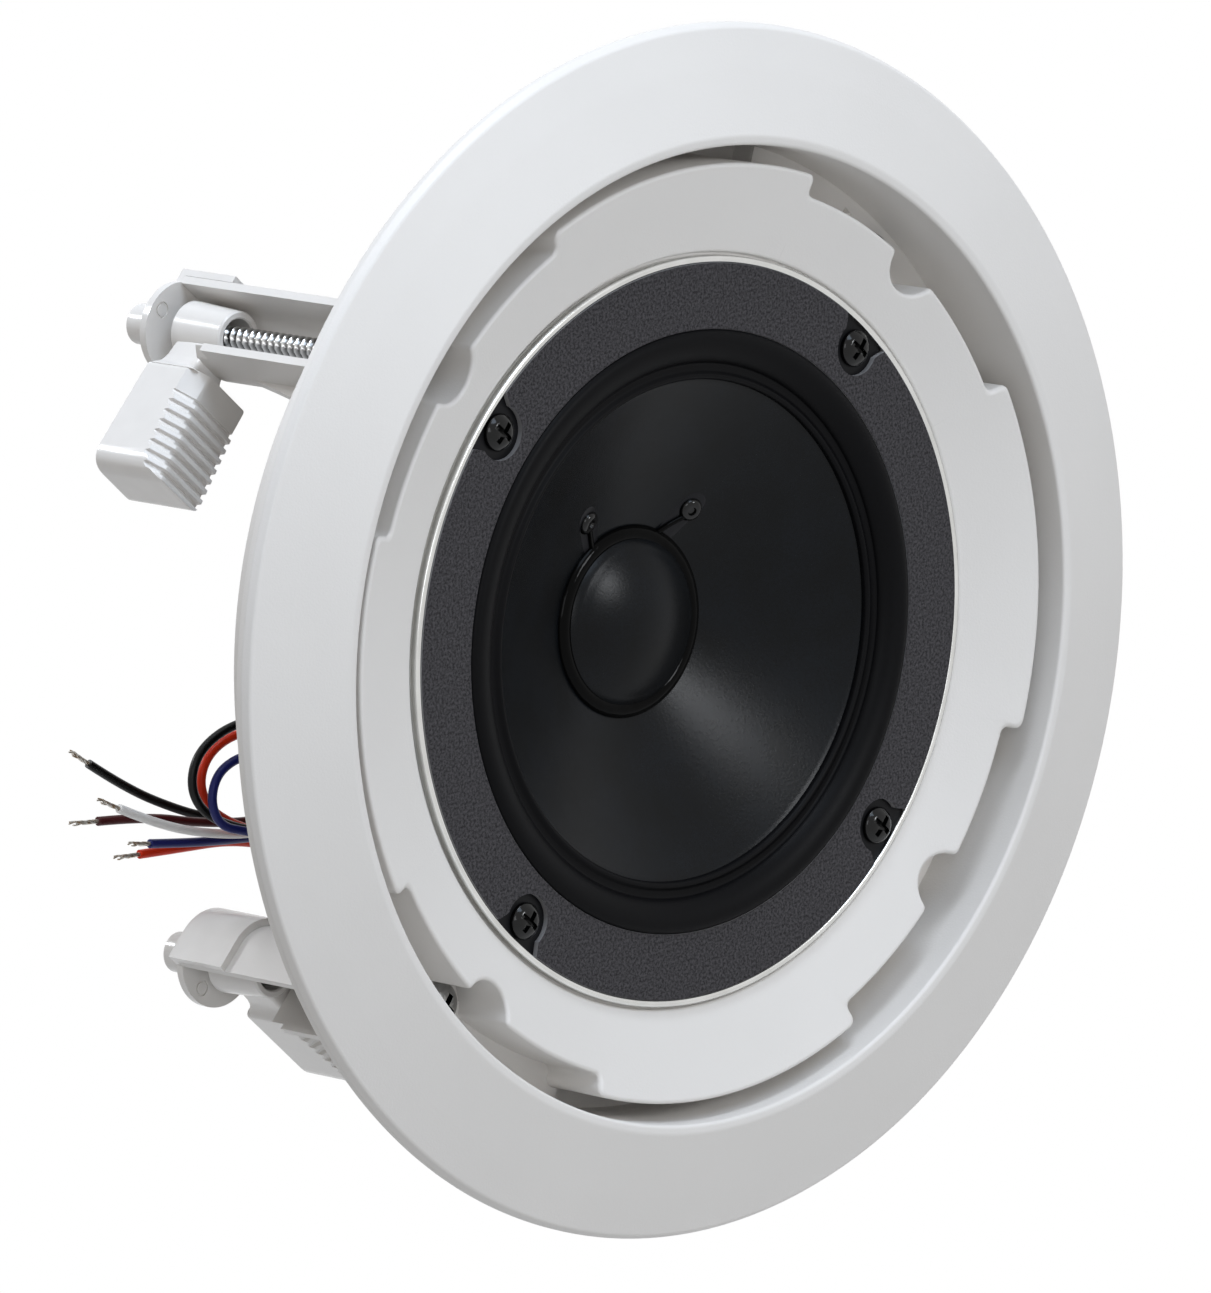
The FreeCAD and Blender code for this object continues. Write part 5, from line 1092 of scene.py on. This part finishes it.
# Nylon: moulded, slightly translucent cream, semi-matt.
nylon, tree, spot = new_finish("moulded_nylon")
cloud = add_node(tree, "TexNoise", {"Vector": spot, "Scale": 1 / (4 * MM)})
tint = add_node(tree, "Mix", {"Factor": cloud, 6: linear("#D8D2C0"), 7: linear("#E6E1D2")}, data_type="RGBA")
polymer = add_node(tree, "BsdfPrincipled", {"Base Color": tint, "Roughness": 0.45, "Subsurface Weight": 0.1,
                                            "Subsurface Radius": (MM, MM, MM)})
add_node(tree, "OutputMaterial", {"Surface": polymer})
place("transformer_bobbin_moulding", finished(bobbin, "bobbin", 35, True), "frame", nylon, "bobbin_plastic",
      "transformer_bobbin")

COIL_X, COIL_Z, COIL_FRONT, COIL_BACK, COIL_GAP = 9.2, 12.9, 55.05, 67.95, 0.05
room_x, room_z = TUBE_X + COIL_GAP, TUBE_Z + COIL_GAP
tube_room = prism(box_outline(-room_x, room_x, -room_z, room_z), 50, 72)
winding = worked(prism(box_outline(-COIL_X, COIL_X, -COIL_Z, COIL_Z, 2.2, 8), COIL_FRONT, COIL_BACK),
                 [(CUT, tube_room)], 0.15)
tape_end = rounded([(-4.0, COIL_Z - 0.4, 0.1), (6.6, COIL_Z - 0.4, 0.1), (6.6, COIL_Z + 0.08, 0.04),
                    (-4.0, COIL_Z + 0.08, 0.04)])
add_turned(winding, worked(prism(tape_end, COIL_FRONT + 0.3, COIL_BACK - 0.3), [], 0.03))

# Polyester tape: thin yellow film drawn tight, with faint wrinkles across its width.
polyester_tape, tree, spot = new_finish("polyester_film_tape")
along = add_node(tree, "VectorMath", {0: spot, 1: (1.0, 0.15, 1.0)}, operation="MULTIPLY")
wrinkle = add_node(tree, "TexNoise", {"Vector": along, "Scale": 1 / (1.5 * MM), "Detail": 2.0})
relief = add_node(tree, "Bump", {"Height": wrinkle, "Strength": 0.35, "Distance": 0.12 * MM})
tint = add_node(tree, "Mix", {"Factor": wrinkle, 6: linear("#C79A1E"), 7: linear("#E2BC3C")},
                data_type="RGBA")
film = add_node(tree, "BsdfPrincipled", {"Base Color": tint, "Roughness": 0.28, "Normal": relief})
add_node(tree, "OutputMaterial", {"Surface": film})
place("transformer_winding_tape", finished(winding, "winding", 35, True), "frame", polyester_tape,
      "winding_tape", "transformer_winding")

STRAP, EAR_X, EAR_ROUND = 0.8, 26.8, 3.0
STRAP_HOLE_R, STRAP_SCREW_R = 1.6, 2.8
STRAP_SCREW_HEAD, STRAP_SCREW_BASE, STRAP_SCREW_TIP = 51.1, 49.3, 45.0
STRAP_RECESS, STRAP_THREAD = (3.6, 0.8, 0.9), (1.05, 1.45, 0.9)      # as for the driver screws
foot, foot_back = CORE_FRONT + GLUE, CORE_FRONT + STRAP
inside, outside = CORE_HALF, CORE_HALF + STRAP
fold = [(-EAR_X, foot, 0.1), (-inside, foot, 0.9), (-inside, CORE_BACK, 0.5), (inside, CORE_BACK, 0.5),
        (inside, foot, 0.9), (EAR_X, foot, 0.1), (EAR_X, foot_back, 0.1), (outside, foot_back, 0.3),
        (outside, CORE_BACK + STRAP, 1.2), (-outside, CORE_BACK + STRAP, 1.2), (-outside, foot_back, 0.3),
        (-EAR_X, foot_back, 0.1)]
strap_tools = [(CUT, prism(round_outline(x, 0, STRAP_HOLE_R, 24), 47, 51))
               for x in (-STRAP_SCREW_X, STRAP_SCREW_X)]
strap_tools.append((KEEP, prism(box_outline(-EAR_X, EAR_X, -STACK_HALF, STACK_HALF, EAR_ROUND, 6), 40, 80)))
strap = worked(stood(rounded(fold, 4), -STACK_HALF, STACK_HALF), strap_tools, 0.1)
place("transformer_bracket_strap", finished(strap, "strap", 35, True), "frame", zinc_plate, "plated_steel",
      "transformer_bracket")
bracket_screws = bmesh.new()
for x in (-STRAP_SCREW_X, STRAP_SCREW_X):
    recess = cross(x, 0, STRAP_SCREW_HEAD, *STRAP_RECESS)
    head = worked(pan_head(x, 0, STRAP_SCREW_R, STRAP_SCREW_HEAD, STRAP_SCREW_BASE), [(CUT, recess)], 0.06)
    add_turned(bracket_screws, head)
    add_turned(bracket_screws, threaded(x, 0, *STRAP_THREAD, STRAP_SCREW_TIP, STRAP_SCREW_BASE + 0.1, 20))
place("bracket_screw_heads", finished(bracket_screws, "bracket_screws"), "frame", zinc_plate, "plated_steel",
      "bracket_screws")
